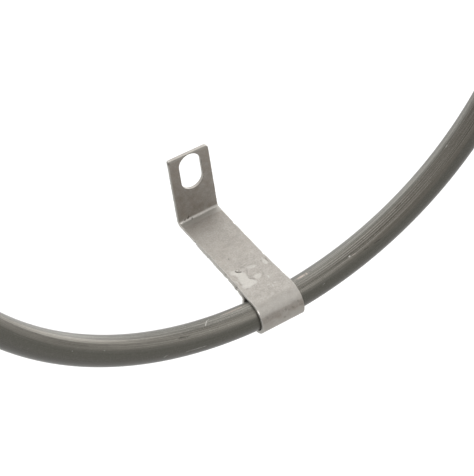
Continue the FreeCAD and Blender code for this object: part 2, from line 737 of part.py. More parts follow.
os.makedirs("parts", exist_ok=True)
for piece in finished:
    piece.Shape.exportStep(f"parts/{piece.Label}.step")
    box = piece.Shape.BoundBox
    print(
        f"{piece.Label:24s} {len(piece.Shape.Solids)} solid, {piece.Shape.Volume:10.2f} mm3,"
        f" X {box.XMin:7.2f} {box.XMax:7.2f}, Y {box.YMin:7.2f} {box.YMax:7.2f},"
        f" Z {box.ZMin:8.2f} {box.ZMax:8.2f}"
    )
print(len(finished), "pieces written")
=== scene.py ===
# %% [markdown]
# # Dressing a tubular heating element
# The packed CAD model gives every piece its place and size. This script builds finer meshes for the pieces
# that are seen closely, gives every piece a procedural finish, and sets up a plain studio.

# %% Load the frame
import json
from math import asin, atan, atan2, cos, degrees, hypot, pi, radians, sin, sqrt

import bmesh
import bpy
import numpy as np
from mathutils import Matrix, Vector, noise

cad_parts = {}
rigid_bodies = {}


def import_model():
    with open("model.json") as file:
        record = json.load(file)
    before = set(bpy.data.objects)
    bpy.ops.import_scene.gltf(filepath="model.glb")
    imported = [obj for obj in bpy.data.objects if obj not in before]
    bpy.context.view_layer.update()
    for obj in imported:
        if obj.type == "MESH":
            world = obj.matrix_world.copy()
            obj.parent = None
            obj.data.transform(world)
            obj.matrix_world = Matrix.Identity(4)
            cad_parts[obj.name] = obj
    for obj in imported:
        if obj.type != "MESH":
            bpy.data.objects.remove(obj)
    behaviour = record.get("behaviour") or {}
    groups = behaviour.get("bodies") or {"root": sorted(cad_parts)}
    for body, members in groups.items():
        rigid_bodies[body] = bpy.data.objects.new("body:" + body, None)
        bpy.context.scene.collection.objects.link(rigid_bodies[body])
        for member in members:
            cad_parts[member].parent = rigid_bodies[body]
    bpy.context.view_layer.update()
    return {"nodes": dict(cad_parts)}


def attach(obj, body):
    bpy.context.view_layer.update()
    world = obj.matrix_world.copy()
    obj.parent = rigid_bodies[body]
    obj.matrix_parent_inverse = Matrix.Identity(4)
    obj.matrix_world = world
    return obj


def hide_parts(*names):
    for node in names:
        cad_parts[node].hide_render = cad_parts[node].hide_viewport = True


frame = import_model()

print("nodes:", len(frame["nodes"]))

# %% [markdown]
# ## Sizes
# Lengths are in millimetres, and become metres when a mesh is made. They are the named sizes of the CAD
# source, so that a mesh lands where its solid is.

# %% Sizes of the element
MM = 0.001
RING_R = 94.0          # ring centre to the tube's centreline
RING_Y = -40.0         # plane of the ring
BEND_R = 15.0          # bend between ring and leg
LEG_X = 18.0           # each leg's distance from the middle
TUBE_R = 4.25
BORE_R = 3.45
TAIL_Y = 24.0          # end of the sheath
RING_Z = -sqrt(RING_R ** 2 + BEND_R ** 2 - LEG_X ** 2)
HALF_GAP = asin(LEG_X / hypot(RING_R, BEND_R)) + atan(BEND_R / RING_R)

STRIP_W = 12.8         # bracket strip
STRIP_T = 1.0
INNER_R = RING_R - TUBE_R
RISE = INNER_R - sqrt(INNER_R ** 2 - (STRIP_W / 2) ** 2)
WRAP_IN = TUBE_R + RISE / 2 + 0.03
WRAP_OUT = WRAP_IN + STRIP_T
WRAP_Z = RING_Z - RING_R + RISE / 2
LEAF_PLAY = 0.1
FOLD_R = 0.5           # inside of the tight reverse bend
TAB_BEND = 0.8         # inside of the square bend
TAB_H = 23.2           # tab above the arm
SLOT_W, SLOT_L, SLOT_Z = 6.9, 12.3, 21.8
RETURN_END = 30.5

FLANGE_L, FLANGE_W, FLANGE_T = 76.0, 24.0, 2.0
SCREW_X, SCREW_R = 29.0, 2.4
PIN_R, STUD_R = 1.5, 2.0
PIN_TIP, STUD_Y, STUD_END = -20.0, 30.0, 46.0
PITCH = 0.7
BRAZE_LEG = 1.4
print("ring centre z", round(RING_Z, 2), "wrap centre z", round(WRAP_Z, 2))

# %% [markdown]
# ## A skin of quads
# Most pieces are swept: a loop of points repeated along a path. Every corner carries its own UV, so the loop's
# seam stays clean. A finished piece takes its CAD node's place. Nothing moves, so it rides on the root body.

# %% Sweep a skin, and put it in its place


def place_object(name, data):
    obj = bpy.data.objects.new(name, data)
    bpy.context.collection.objects.link(obj)
    return obj


def soften(mesh, angle):
    """Shades a mesh smooth, except across edges sharper than the angle."""
    mesh.polygons.foreach_set("use_smooth", [True] * len(mesh.polygons))
    mesh.set_sharp_from_angle(angle=radians(angle))


def sweep(name, rows, closed_path=False, end_uv=(0.0, 0.0), smooth_angle=35.0):
    """Joins rows of (point, uv) pairs, in millimetres, into one closed mesh.

    Each row repeats its first point last, for the seam's UV. A closed path joins the last row to the first,
    and an open one gets a flat face at each end.
    """
    wide = len(rows[0]) - 1
    faces, uvs = [], []
    for i in range(len(rows) if closed_path else len(rows) - 1):
        k = (i + 1) % len(rows)
        for j in range(wide):
            quad = ((i, j), (i, j + 1), (k, j + 1), (k, j))
            faces.append([row * wide + spot % wide for row, spot in quad])
            uvs += [rows[row][spot][1] for row, spot in quad]
    if not closed_path:
        last = (len(rows) - 1) * wide
        faces += [list(range(wide))[::-1], list(range(last, last + wide))]
        uvs += [(0.0, 0.0)] * wide + [end_uv] * wide
    mesh = bpy.data.meshes.new(name)
    mesh.from_pydata([Vector(p) * MM for row in rows for p, _ in row[:wide]], [], faces)
    mesh.uv_layers.new(name="UVMap").data.foreach_set("uv", np.array(uvs, dtype=np.float32).ravel())
    soften(mesh, smooth_angle)
    mesh.update()
    return place_object(name, mesh)


def report(obj):
    size = obj.dimensions / MM
    print(f"{obj.name}: {len(obj.data.polygons)} faces, {size.x:.1f} x {size.y:.1f} x {size.z:.1f} mm")


def stand_for(piece, node):
    """Puts a finished piece in the place of its CAD node, which is hidden."""
    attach(piece, "root")
    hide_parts(node)
    report(piece)


# %% [markdown]
# ## The sheath
# The real sheath is one drawn steel tube, filled, swaged and bent. A bevelled curve would lack its wall, and
# the lengthwise coordinate that its draw marks follow. So it is swept by hand: leg, bend, ring, bend, leg, with
# the distance along the tube as U and the turn round it as V.

# %% The tube's route


def route(detail=1.0):
    """Stations along the tube: centre, outward direction, second section direction, distance."""
    ring_mid, away = Vector((0.0, RING_Y, RING_Z)), Vector((0.0, 1.0, 0.0))
    ring_steps, bend_steps, leg_steps = (max(4, int(n * detail)) for n in (330, 20, 14))
    stations = []

    def add(centre, outward, second):
        last = stations[-1] if stations else None
        gone = last[3] + (centre - last[0]).length if last else 0.0
        stations.append((centre, outward.normalized(), second.normalized(), gone))

    def leg(sign):
        """A leg's directions, outward and aside, and the hub of its bend."""
        out = Vector((sign * sin(HALF_GAP), 0, cos(HALF_GAP)))
        aside = Vector((-sign * cos(HALF_GAP), 0, sin(HALF_GAP)))
        return out, aside, ring_mid + out * RING_R + away * BEND_R

    def straight(out, aside, hub, start, end, count):
        foot = hub + aside * BEND_R
        for i in range(count):
            add(Vector((foot.x, start + (end - start) * i / leg_steps, foot.z)), out, aside)

    def bend(out, aside, hub, near, far):
        for i in range(bend_steps):
            turn = pi / 2 * i / bend_steps
            arm = aside * near(turn) - away * far(turn)
            add(hub + arm * BEND_R, out, arm)

    straight(*leg(-1), TAIL_Y, RING_Y + BEND_R, leg_steps)
    bend(*leg(-1), cos, sin)
    for i in range(ring_steps):
        turn = HALF_GAP + (2 * pi - 2 * HALF_GAP) * i / ring_steps
        out = Vector((-sin(turn), 0, cos(turn)))
        add(ring_mid + out * RING_R, out, -away)
    bend(*leg(1), sin, cos)
    straight(*leg(1), RING_Y + BEND_R, TAIL_Y, leg_steps + 1)
    return stations


def ring_of(station, radius, sides):
    centre, outward, second, gone = station
    loop = []
    for j in range(sides + 1):
        turn = 2 * pi * j / sides
        point = centre + (outward * cos(turn) + second * sin(turn)) * radius
        loop.append((point, (gone * MM, j / sides)))
    return loop


print("route:", len(route()), "stations,", round(route()[-1][3]), "mm long")

# %% [markdown]
# ### Outside and bore
# The skin runs along the outside, turns in at one end and comes back along the bore, so the wall has its true
# thickness. The rims are a little soft, as a deburred cut is.

# %% Sweep the sheath
ROUND_SIDES = 64
EDGE = 0.12            # softened rim at each open end
outside, inside = route(), route(0.3)
rows = [ring_of(station, TUBE_R, ROUND_SIDES) for station in outside]
lips = []
for rim in (0, -1):
    centre, outward, second, gone = outside[rim]
    lips.append(ring_of(outside[rim], TUBE_R - EDGE, ROUND_SIDES))
    rows[rim] = ring_of((centre - Vector((0, EDGE, 0)), outward, second, gone), TUBE_R, ROUND_SIDES)
bore = [ring_of(station, BORE_R, ROUND_SIDES) for station in reversed(inside)]
sheath = sweep("sheath_tube", [lips[0], *rows, lips[1], *bore], closed_path=True)
stand_for(sheath, "sheath")

# %% [markdown]
# ## The support bracket
# One strip of steel, sheared to width, pierced with a slot and folded in a press. It is swept along its fold
# line: U runs from the tab's top to the end of the return leaf, and V across. The sheared edges are rolled a
# little, and pliers left small nicks in them.

# %% The strip's fold line


class Walker:
    """Walks along the middle of the strip in the Y-Z plane, on straights and arcs."""

    def __init__(self, y, z, heading, face):
        self.place = Vector((0.0, y, z))
        self.heading, self.face = heading, face
        self.gone, self.stations = 0.0, []

    def direction(self, angle):
        turn = radians(angle)
        return Vector((0.0, cos(turn), sin(turn)))

    def mark(self):
        self.stations.append((self.place.copy(), self.direction(self.face), self.gone))

    def straight(self, length, step):
        count = max(1, round(length / step))
        for _ in range(count):
            self.mark()
            self.place += self.direction(self.heading) * (length / count)
            self.gone += length / count

    def arc(self, angle, radius, count):
        """A positive angle turns away from the shown face. The radius is that of the strip's middle."""
        side = -1 if angle > 0 else 1
        hub = self.place + self.direction(self.face) * side * radius
        for _ in range(count):
            self.mark()
            self.heading += angle / count
            self.face += angle / count
            self.place = hub - self.direction(self.face) * side * radius
            self.gone += abs(radians(angle / count)) * radius


half_t = STRIP_T / 2
fold_z = WRAP_IN - LEAF_PLAY - STRIP_T - FOLD_R
fold_y = sqrt((WRAP_OUT + FOLD_R) ** 2 - fold_z ** 2)
fold_turn = degrees(atan2(fold_z, fold_y))
tab_len = TAB_H - TAB_BEND
arm_len = -RING_Y - STRIP_T - TAB_BEND
walk = Walker(-half_t, WRAP_Z + WRAP_OUT + TAB_H, 270.0, 180.0)
walk.straight(tab_len, 0.4)
walk.arc(-90.0, TAB_BEND + half_t, 12)
walk.straight(arm_len, 0.16)
wrap_start = walk.gone
walk.arc(270.0 + fold_turn, WRAP_IN + half_t, 96)
walk.arc(-90.0 - fold_turn, FOLD_R + half_t, 12)
walk.straight(RETURN_END - fold_y, 0.5)
walk.mark()
strip_len = walk.gone
print("strip length", round(strip_len, 1), "mm, stations", len(walk.stations), "ends at y", round(walk.place.y, 2))

# %% [markdown]
# The real strip was sheared by hand, spread where it was squeezed round the tube, and nicked. Places along it
# are distances from the tube: the arm runs from 0 to 38, the tab from 40 to 63, and the wrap's are negative.

# %% Edges of the strip


def hump(x, middle, width):
    """A smooth hump of height 1, zero beyond its width."""
    t = abs(x - middle) / width
    return 0.0 if t >= 1 else (1 - t * t) ** 2


def along_steps(x, steps):
    """Smooth interpolation between (place, value) steps."""
    if x <= steps[0][0]:
        return steps[0][1]
    for (x0, v0), (x1, v1) in zip(steps, steps[1:]):
        if x <= x1:
            t = (x - x0) / (x1 - x0)
            return v0 + (v1 - v0) * t * t * (3 - 2 * t)
    return steps[-1][1]


# half width by the distance from the tube
SIDES = {
    -1: ((-60, 6.1), (-34, 6.15), (-30, 6.45), (-26, 6.6), (-24, 6.5), (-8, 6.45), (0, 6.4), (5, 6.3), (12, 6.2),
         (24, 6.2), (31, 6.4), (40, 6.45), (62, 6.5)),
    1: ((-60, 6.2), (-28, 6.3), (-24, 6.8), (-12, 6.95), (0, 6.95), (5, 6.75), (10, 6.55), (16, 6.4), (30, 6.35),
        (40, 6.45), (62, 6.35)),
}
# distance from the tube, depth, half length
NICKS = {
    -1: ((30.2, 0.16, 0.7), (22.9, 0.1, 1), (21.7, 0.22, 0.5), (13.3, 0.2, 0.6), (9.4, 0.1, 0.7), (7.6, 0.22, 0.8)),
    1: ((29.6, 0.14, 0.9), (24.0, 0.05, 1.2), (14.1, 0.16, 0.8), (4.6, 0.06, 0.8)),
}
CORNERS = {-1: 0.45, 1: 1.2}    # radii of the tab's top corners
TORN_RUN = (9, 31)              # stretch where the left edge is torn
TORN, SHEARED, WAVE = 0.2, 0.05, 0.05


def on_leaf(gone):
    """Distance from the tube of a place on the return leaf."""
    return RETURN_END - (strip_len - gone)


def half_width(gone, side):
    """Half the strip's width at a place along it, with its corners, nicks and shear waves."""
    from_tube = wrap_start - gone
    width = along_steps(from_tube, SIDES[side])
    corner = CORNERS[side]
    if gone < corner:
        width -= corner - sqrt(corner ** 2 - (corner - gone) ** 2)
    beside = on_leaf(gone) if from_tube < -20 else from_tube
    for middle, depth, length in NICKS[side]:
        width -= depth * hump(beside, middle, length)
    ragged = TORN if side < 0 and TORN_RUN[0] < beside < TORN_RUN[1] else SHEARED
    width += noise.noise(Vector((gone * 0.35, side * 9.0, 0.0))) * WAVE
    return width + noise.noise(Vector((gone * 1.6, side * 5.0, 3.0))) * ragged


print("half widths in the arm:", round(half_width(30.0, -1), 2), round(half_width(30.0, 1), 2))

# %% [markdown]
# ### Marks of the spot weld
# The electrode left a ragged flake of bare metal, a small crater, a shallow round dish and some spatter. Large
# marks are outlines of any shape, and small ones are ellipses. Each says how far it rises and how it colours
# the skin.

# %% Outlined marks
# rise, bright, dark, warm, softness of the rim, then corners as (across, from the tube) in millimetres
OUTLINES = (
    (0.05, 0.92, 0, 0, 0.42, (
        (-5.1, 13.4), (-3.75, 13.3), (-3.6, 12.5), (-2.9, 11.9), (-2.15, 11.5), (-1.85, 10.3), (-1.95, 9.2),
        (-2.15, 8.4), (-1.9, 7.7), (-1.25, 6.9), (-0.95, 6.2), (-1.15, 5.2), (-1.9, 5.3), (-3.1, 5), (-4.3, 4.95),
        (-5.2, 5.5), (-5.3, 6.3), (-4.75, 7.1), (-4.75, 8.9), (-4.35, 10.3), (-4.6, 11.3), (-5.35, 12.4))),
    (0.07, 1.05, 0, 0, 0.3, (
        (4.35, 10.3), (4.9, 9.9), (5.5, 10.2), (5.45, 11.2), (5.1, 12.5), (4.85, 12.6), (4.4, 11.3))),
    (0.03, 0.74, 0, 0.25, 0.32, (
        (-0.9, 7.9), (0.2, 8.35), (1.5, 8.1), (1.65, 7.4), (1, 6.6), (0, 6.45), (-0.6, 7))),
    (0.03, 0.55, 0, 0, 0.22, (
        (-0.2, 12.2), (0.8, 12.2), (2.2, 11.7), (2.2, 10.9), (0.9, 10.8), (-0.3, 11.3))),
    (-0.06, -1, 0.26, 0.1, 0.22, (
        (-2, 8.2), (-1.3, 8), (-0.8, 7.5), (-0.65, 6.7), (-1.1, 6.9), (-1.7, 7.5))),
    (0.02, 0.5, 0, 0, 0.25, ((-6, 9.8), (-5.4, 9.5), (-5.2, 8.5), (-5.6, 8.3), (-5.8, 8.9))),
)


def to_outline(x, y, corners):
    """Distance to a closed outline, negative inside it."""
    nearest, inside = 99.0, False
    for (x0, y0), (x1, y1) in zip(corners, corners[1:] + corners[:1]):
        dx, dy = x1 - x0, y1 - y0
        t = max(0.0, min(1.0, ((x - x0) * dx + (y - y0) * dy) / (dx * dx + dy * dy)))
        nearest = min(nearest, hypot(x - x0 - t * dx, y - y0 - t * dy))
        if (y0 > y) != (y1 > y) and x < x0 + (y - y0) * dx / dy:
            inside = not inside
    return -nearest if inside else nearest


print("outlined marks:", len(OUTLINES))

# %% [markdown]
# The small marks are pits, flecks, streaks and stains, and a few painted highlights and painted shades: a glint on
# the wrap's edge, highlights in the square fold, shade on the spatter's flanks, and a highlight and shade on the
# dish's ridge. The crater is a ring of short dark strokes with a warm bead in it. Stains lie in the nicks of the
# edge, and three pits in the square fold.

# %% Small marks
# across, from the tube, half sizes across and along, lean in degrees, rise, bright, dark, warm
MARKS = (
    (-3.6, 12.5, 0.2, 0.42, 8, -0.12, -1.2, 0.85, 0.3),  # crater's rim
    (-3.25, 12.02, 0.21, 0.42, 45, -0.14, -1.2, 0.95, 0.3),
    (-2.65, 11.66, 0.22, 0.46, 62, -0.12, -1.2, 0.9, 0.3),
    (-3.05, 13.1, 0.42, 0.11, -8, -0.05, -0.7, 0.42, 0.3),
    (-2.55, 12.55, 0.1, 0.4, -10, -0.05, -0.6, 0.4, 0.3),
    (-3.1, 12.62, 0.32, 0.3, 0, 0.06, 0.8, 0, 0.45),  # bead in it
    (-4.5, 4.85, 0.42, 0.18, 0, -0.05, -0.4, 0.3, 0),  # hollow under the flake
    (-5.15, 7.6, 0.22, 1, 0, -0.03, -0.3, 0.18, 0.2),  # shade along its left side
    (-1, 10.8, 0.24, 1.1, -28, -0.025, -0.3, 0.2, 0),
    (2.1, 7.3, 0.28, 0.5, 0, -0.02, -0.2, 0.2, 0),
    (0.4, 9.2, 0.9, 0.22, 10, 0.01, 0.3, 0, 0),
    (2.6, 5.4, 0.2, 0.7, -22, 0.03, 1.2, 0, 0),  # streak
    (5.72, 11.5, 0.18, 0.95, 6, -0.05, -0.5, 0.48, 0.3),  # painted shade on the flanks of the spatter
    (4.22, 11.9, 0.13, 0.6, 0, -0.03, -0.3, 0.2, 0.1),
    (-0.8, 13.62, 1, 0.13, 8, 0.03, 0.4, 0, 0),  # ridge round the dish: a low rise with a painted highlight, and painted shade below it
    (-1, 13.15, 0.95, 0.22, 4, -0.03, -0.3, 0.18, 0),
    (0.9, 12.6, 1.1, 0.2, -22, -0.03, -0.3, 0.17, 0),
    (-2.55, 18.02, 0.18, 0.36, -38, -0.05, -0.5, 0.6, 0.3),  # small pit
    (-1.5, 2.9, 0.45, 0.2, 10, 0.01, 0.35, 0, 0),  # flecks near the wrap
    (1.05, 2.75, 0.42, 0.22, -10, 0.02, 0.75, 0, 0),
    (1.8, 1.75, 0.22, 0.6, -12, 0.02, 0.8, 0, 0),
    (2.9, 2.5, 0.46, 0.22, -15, 0.02, 0.75, 0, 0),
    (0.4, 1.4, 0.55, 0.9, 0, -0.01, 0, 0.11, 0),
    (-4.35, 39.85, 0.24, 0.62, -25, -0.05, -1, 0.7, 0.8),  # pits in the fold
    (-3.25, 40.1, 0.27, 0.75, -25, -0.06, -1, 0.92, 0.8),
    (-2.35, 38.75, 0.19, 0.62, -22, -0.04, -1.2, 0.78, 0.7),
    (-5.7, 39, 0.45, 0.42, 0, 0, 2, 0, 0.2),  # painted highlights in the square fold, at its left end and further in
    (0.7, 38.7, 0.3, 0.22, 0, 0, 1.5, 0, 0),
    (-6.4, 61.95, 0.42, 0.5, 0, 0, -0.9, 0.6, 0.4),  # stained corner of the tab
    (-6.24, -3.5, 0.17, 0.7, 0, 0, 3, 0, 0),  # painted glint on the wrap's left edge
    (-4.5, -5.75, 0.48, 0.22, 10, 0, -0.2, 0.4, 0.3),  # stains on the wrap
    (-2.6, -6.1, 0.9, 0.3, 5, 0, -0.2, 0.22, 0.5),
    (1.25, -5.9, 0.42, 0.26, -15, 0, -0.2, 0.42, 0.2),
    (2.2, -6.45, 0.6, 0.2, -20, 0, -0.2, 0.3, 0.4),
    (3.4, -6.2, 0.5, 0.24, -20, 0, -0.2, 0.38, 0.2),
    (5.4, -5.35, 0.36, 0.3, 0, 0, -0.2, 0.4, 0.3),
    (6, -6.6, 0.7, 0.22, -10, 0, -0.2, 0.3, 0.4),
    (0.5, -7.9, 0.45, 0.55, 20, 0, -0.2, 0.22, 0.4),
    (3.8, -3.4, 1.4, 0.22, 0, 0, 0.35, 0, 0),  # rubs between them
    (-1.5, -4.5, 1.2, 0.2, 4, 0, 0.45, 0, 0),
    (5.6, -7.8, 0.6, 0.3, -15, 0, 0.35, 0, 0.6),
    (-6.45, 30, 0.3, 0.45, 0, 0, -0.9, 0.4, 0.3),  # stains in the nicks
    (-6.45, 22.6, 0.32, 0.65, 0, 0, -0.9, 0.62, 0.2),
    (-6.45, 13.9, 0.32, 0.5, 0, 0, -0.9, 0.62, 0.3),
    (-6.6, 8.3, 0.24, 0.55, 0, 0, -0.9, 0.8, 0.2),
)
print("small marks:", len(MARKS))

# %% [markdown]
# Slow changes run along the strip. Painted highlights lie on the wrap, inside the square fold and along the tab's
# top edge. Stains on the wrap and painted shade lie elsewhere: a painted shadow in the reverse bend, a darker band
# before the square fold, and shade over the tab. The tab has also kept more of its brown heat stain. Each is a row
# of (distance, amount) steps.

# %% Slow changes along the strip
# painted highlights: on the wrap, inside the square fold and along the tab's top edge
PAINTED_HIGHLIGHTS = (
    (-20, 0), (-13, 0.5), (-9, 0.62), (-7.2, 0.34), (-6.6, 0), (-5.5, 0), (-4.8, 0.55), (-3, 0.52), (-1.6, 0.2),
    (0, 0), (36.3, 0), (37.2, 0.8), (38.8, 1.05), (39.5, 0.95), (40.15, 0), (61.7, 0), (62.3, 0.75),
)
# stains on the wrap, and painted shade: a painted shadow in the reverse bend, a darker band before the square fold,
# and shade over the tab
STAINS_AND_PAINTED_SHADE = (
    (-24, 0), (-22, 0.4), (-15, 0.5), (-12, 0.03), (-7.2, 0.03), (-6.5, 0.1), (-5.4, 0.1), (-4.7, 0), (32, 0),
    (35.8, 0.06), (36.8, 0), (39.8, 0), (40.4, 0.15), (48, 0.165), (60, 0.07),
)
WARMED = (
    (-13, 0.3), (-10, 0.75), (-7, 0.6), (-5, 0.4), (-2, 0.15), (0, 0.08), (12, 0.1), (20, 0.2), (30, 0.12),
    (36, 0.3), (41, 0.62), (62, 0.7),
)
print("steps:", len(PAINTED_HIGHLIGHTS), len(STAINS_AND_PAINTED_SHADE), len(WARMED))

# %% [markdown]
# All marks meet in one function. Slow noise makes them patchy, and finer noise tears their rims, so that no ellipse
# shows as such. A brighter mark or painted highlight wins over a duller one, and so does a darker stain or painted
# shade.

# %% Relief and colour of the strip at any place
DISH_X, DISH_AT, DISH_R, DISH_DEPTH = 0.2, 9.2, 3.6, 0.035    # the electrode's dish
REACH_X, REACH_AT = 6, 10      # farthest that an outline reaches from its first corner


def marks_near(across, from_tube, spot, torn):
    """Marks that reach a spot: how much of each is there, if it bares the skin, and its effects."""
    fine_torn = noise.noise(spot * 5.0 + Vector((0, 3, 0)))
    for *effects, soft, corners in OUTLINES:
        x, y = corners[0]
        if abs(across - x) <= REACH_X and abs(from_tube - y) <= REACH_AT:
            gap = to_outline(across, from_tube, corners) + torn * 0.25 + fine_torn * 0.3
            effects[1] *= 1 + 0.25 * noise.noise(spot * 1.1 + Vector((2, 0, 2)))
            yield min(1.0, max(0.0, 0.5 - gap / soft)), not effects[3], effects
    for x, y, a, b, tilt, *effects in MARKS:
        dx, dy, turn = across - x, from_tube - y, radians(tilt)
        if max(abs(dx), abs(dy)) <= 2 * max(a, b):
            u, v = dx * cos(turn) + dy * sin(turn), dy * cos(turn) - dx * sin(turn)
            inside = min(1.0, max(0.0, (1.15 - hypot(u / a, v / b) + torn) * 2.0))
            yield inside * (inside * (3 - 2 * inside)), False, effects


def marks_at(across, from_tube):
    """Rise in millimetres, and how bright, dark and warm the skin is."""
    spot = Vector((across, from_tube, 0.0))
    torn = noise.noise(spot * 1.3) * 0.3 + noise.noise(spot * 3.1 + Vector((7, 0, 0))) * 0.22
    patchy = noise.noise(spot * 0.55 + Vector((0, 0, 5)))
    bright = along_steps(from_tube + 0.4 * patchy, PAINTED_HIGHLIGHTS)
    dark = along_steps(from_tube + 0.6 * patchy, STAINS_AND_PAINTED_SHADE) * (1 + 0.8 * patchy)
    warm = along_steps(from_tube, WARMED) * (1 + 0.8 * patchy)
    rise = 0.0
    for inside, bares, (lift, shine, shade, tan) in marks_near(across, from_tube, spot, torn):
        rise += lift * inside
        bright = max(bright, shine * inside) if shine >= 0 else bright + shine * inside
        dark = max(dark, shade * inside)
        warm = warm * (1 - inside) if bares else max(warm, tan * inside)
    dish = hump(hypot(across - DISH_X, from_tube - DISH_AT), 0.0, DISH_R)
    return rise - DISH_DEPTH * dish, max(0.0, bright), dark, warm


print("in the flake:", [round(v, 2) for v in marks_at(-3.2, 9.0)])

# %% [markdown]
# ### The folded strip
# The strip is drawn section by section, as if it were fed through the press. The shown face has a fine row of
# points across it, so that the marks are real relief, and the sheared edges are rolled over.

# %% One section across the strip
ACROSS = 84            # steps across the shown face
ROLL_STEPS = 4         # steps in each quarter of a rolled edge
EDGE_ROLL = 0.16


def rolled(half, thin, roll):
    """The right edge, from the shown face to the hidden one."""
    quarter = [pi / 2 * j / ROLL_STEPS for j in range(ROLL_STEPS + 1)]
    edge = [(half - roll + roll * sin(t), thin - roll + roll * cos(t)) for t in quarter[1:]]
    return edge + [(half - roll + roll * cos(t), -thin + roll - roll * sin(t)) for t in quarter[:-1]]


def section(left, right, thin):
    """The outline as (across, height). Its left edge is a right edge, turned half round."""
    roll = min(EDGE_ROLL, thin * 0.9)
    span = left + right - 2 * roll
    shown = [(-left + roll + span * j / ACROSS, thin) for j in range(ACROSS + 1)]
    hidden = [(right - roll - span * 2 * j / ACROSS, -thin) for j in range(ACROSS // 2 + 1)]
    return shown + rolled(right, thin, roll) + hidden + [(-x, -z) for x, z in rolled(left, thin, roll)]


print("points a section:", len(section(6.4, 6.4, half_t)))

# %% [markdown]
# Each section gets its marks where it stands. Only the shown face is lifted. The edges get a painted highlight,
# stronger on the left and weaker near the reverse bend. On the return leaf the same place holds the weld's back: a
# round dimple with a low rim.

# %% The marks on a section
LEAF_FROM = -24.0      # beyond this distance the strip is the return leaf
NEAR_EDGE = 6.0        # from here outward a place on the leaf shares the nicks' marks
SLANT = 0.3            # the tab's top edge isn't quite square
DIMPLE_AT, DIMPLE_R, DIMPLE_DEPTH, RIM_R, RIM_RISE = 9.0, 2.3, 0.09, 2.5, 0.04
# painted highlight on the edges: its strength on the left and right, and along the strip
PAINTED_EDGE_LIGHT_LEFT, PAINTED_EDGE_LIGHT_RIGHT = 1.35, 0.4
PAINTED_EDGE_LIGHT_ALONG = ((-24.5, 1.0), (-22.0, 0.3), (-15.0, 0.1), (-13.0, 1.0))


def strip_loop(station, ends):
    """One section in its place, as (point, uv) pairs, and the marks' colours: bright, dark, warm."""
    place, face, gone = station
    left, right, thin = half_width(gone, -1), half_width(gone, 1), half_t - ends
    from_tube, beside = wrap_start - gone, on_leaf(gone)
    is_leaf = from_tube < LEAF_FROM
    slant = SLANT * hump(gone, 0.0, 10.0)
    loop, colors = [], []
    for x, high in section(left, right, thin):
        at = beside if is_leaf and abs(x) > NEAR_EDGE else from_tube
        lift, bright, dark, warm = marks_at(x, at) if high > -thin * 0.9 else (0.0, 0.0, 0.0, 0.0)
        edge = min(right - x, x + left)
        if high <= thin * 0.99:
            lift = 0.0
        else:
            lift *= min(1.0, edge / 0.5)
            if is_leaf:
                ring = hypot(x, beside - DIMPLE_AT)
                lift += RIM_RISE * hump(ring, RIM_R, 0.5) - DIMPLE_DEPTH * hump(ring, 0.0, DIMPLE_R)
        # painted highlight on the edges, with a pinkish tint
        painted_edge_light = hump(edge, 0.0, 0.3) * (PAINTED_EDGE_LIGHT_LEFT if x < 0 else PAINTED_EDGE_LIGHT_RIGHT) * along_steps(from_tube, PAINTED_EDGE_LIGHT_ALONG)
        point = place + face * (high + lift) + Vector((x, 0, -slant * (x + STRIP_W / 2) / STRIP_W))
        loop.append((point, (gone * MM, x * MM)))
        colors.append((max(bright, painted_edge_light * (1 - dark)), dark, max(warm, painted_edge_light * 0.45), 1.0))
    return loop + loop[:1], colors


print("first marks:", strip_loop(walk.stations[0], 0.0)[1][0])

# %% [markdown]
# The two cut ends are rounded by a few thinner sections. The marks' colours go along as a colour attribute,
# which the finish reads.

# %% Sweep the strip
SOFT = 0.16            # rounding of the cut ends
SOFT_TURNS = (0.0, 0.4, 0.8, 1.2)    # how far round each section is, in radians


def soft_end(station, inward, sense):
    """Thinner sections at a cut end. The sense is 1 where the strip starts and -1 where it ends."""
    place, face, gone = station
    sections = []
    for turn in SOFT_TURNS:
        inset = SOFT * (1 - cos(turn))
        sections.append(((place + inward * inset, face, gone + sense * inset), SOFT * (1 - sin(turn))))
    return sections[::sense]


def paint_marks(obj, colors):
    layer = obj.data.color_attributes.new("marks", "FLOAT_COLOR", "POINT")
    layer.data.foreach_set("color", np.array(colors, dtype=np.float32).ravel())


sections = soft_end(walk.stations[0], Vector((0, 0, -1)), 1)
sections += [(station, 0.0) for station in walk.stations[1:-1]]
sections += soft_end(walk.stations[-1], Vector((0, -1, 0)), -1)
rows, tints = [], []
for station, ends in sections:
    loop, colors = strip_loop(station, ends)
    rows.append(loop)
    tints += colors
bracket = sweep("support_bracket_strip", rows, end_uv=(strip_len * MM, 0.0))
paint_marks(bracket, tints)
report(bracket)

# %% [markdown]
# ### Blanks and punches
# The flange and every hole have round ends, so one helper makes them all. A punch is a boolean's cutter, wider
# at both faces, which leaves the small bevel of a deburred hole.

# %% Round-ended blanks


def blank(name, stops, half_len, radius, place=(0.0, 0.0), upright=False, sides=96):
    """A block along Y. Each stop is a place on Y and how far the outline grows there."""
    rows = []
    for y, grow in stops:
        loop = []
        for j in range(sides + 1):
            turn = 2 * pi * j / sides + pi / sides
            x, z = (radius + grow) * cos(turn), (radius + grow) * sin(turn)
            shift = half_len if (z if upright else x) > 0 else -half_len
            x, z = (x, z + shift) if upright else (x + shift, z)
            point = Vector((place[0] + x, y, place[1] + z))
            loop.append((point, (point.x * MM, point.z * MM)))
        rows.append(loop)
    return sweep(name, rows)


def punch(thick, radius, bevel, place, half_len=0.0, sides=64):
    """A cutter for a sheet whose faces are at Y = -thick and 0."""
    stops = ((-thick - 1.0, bevel + 1.0), (-thick, bevel), (-thick + bevel, 0.0),
             (-bevel, 0.0), (0.0, bevel), (1.0, bevel + 1.0))
    return blank("punch", stops, half_len, radius, place, upright=True, sides=sides)


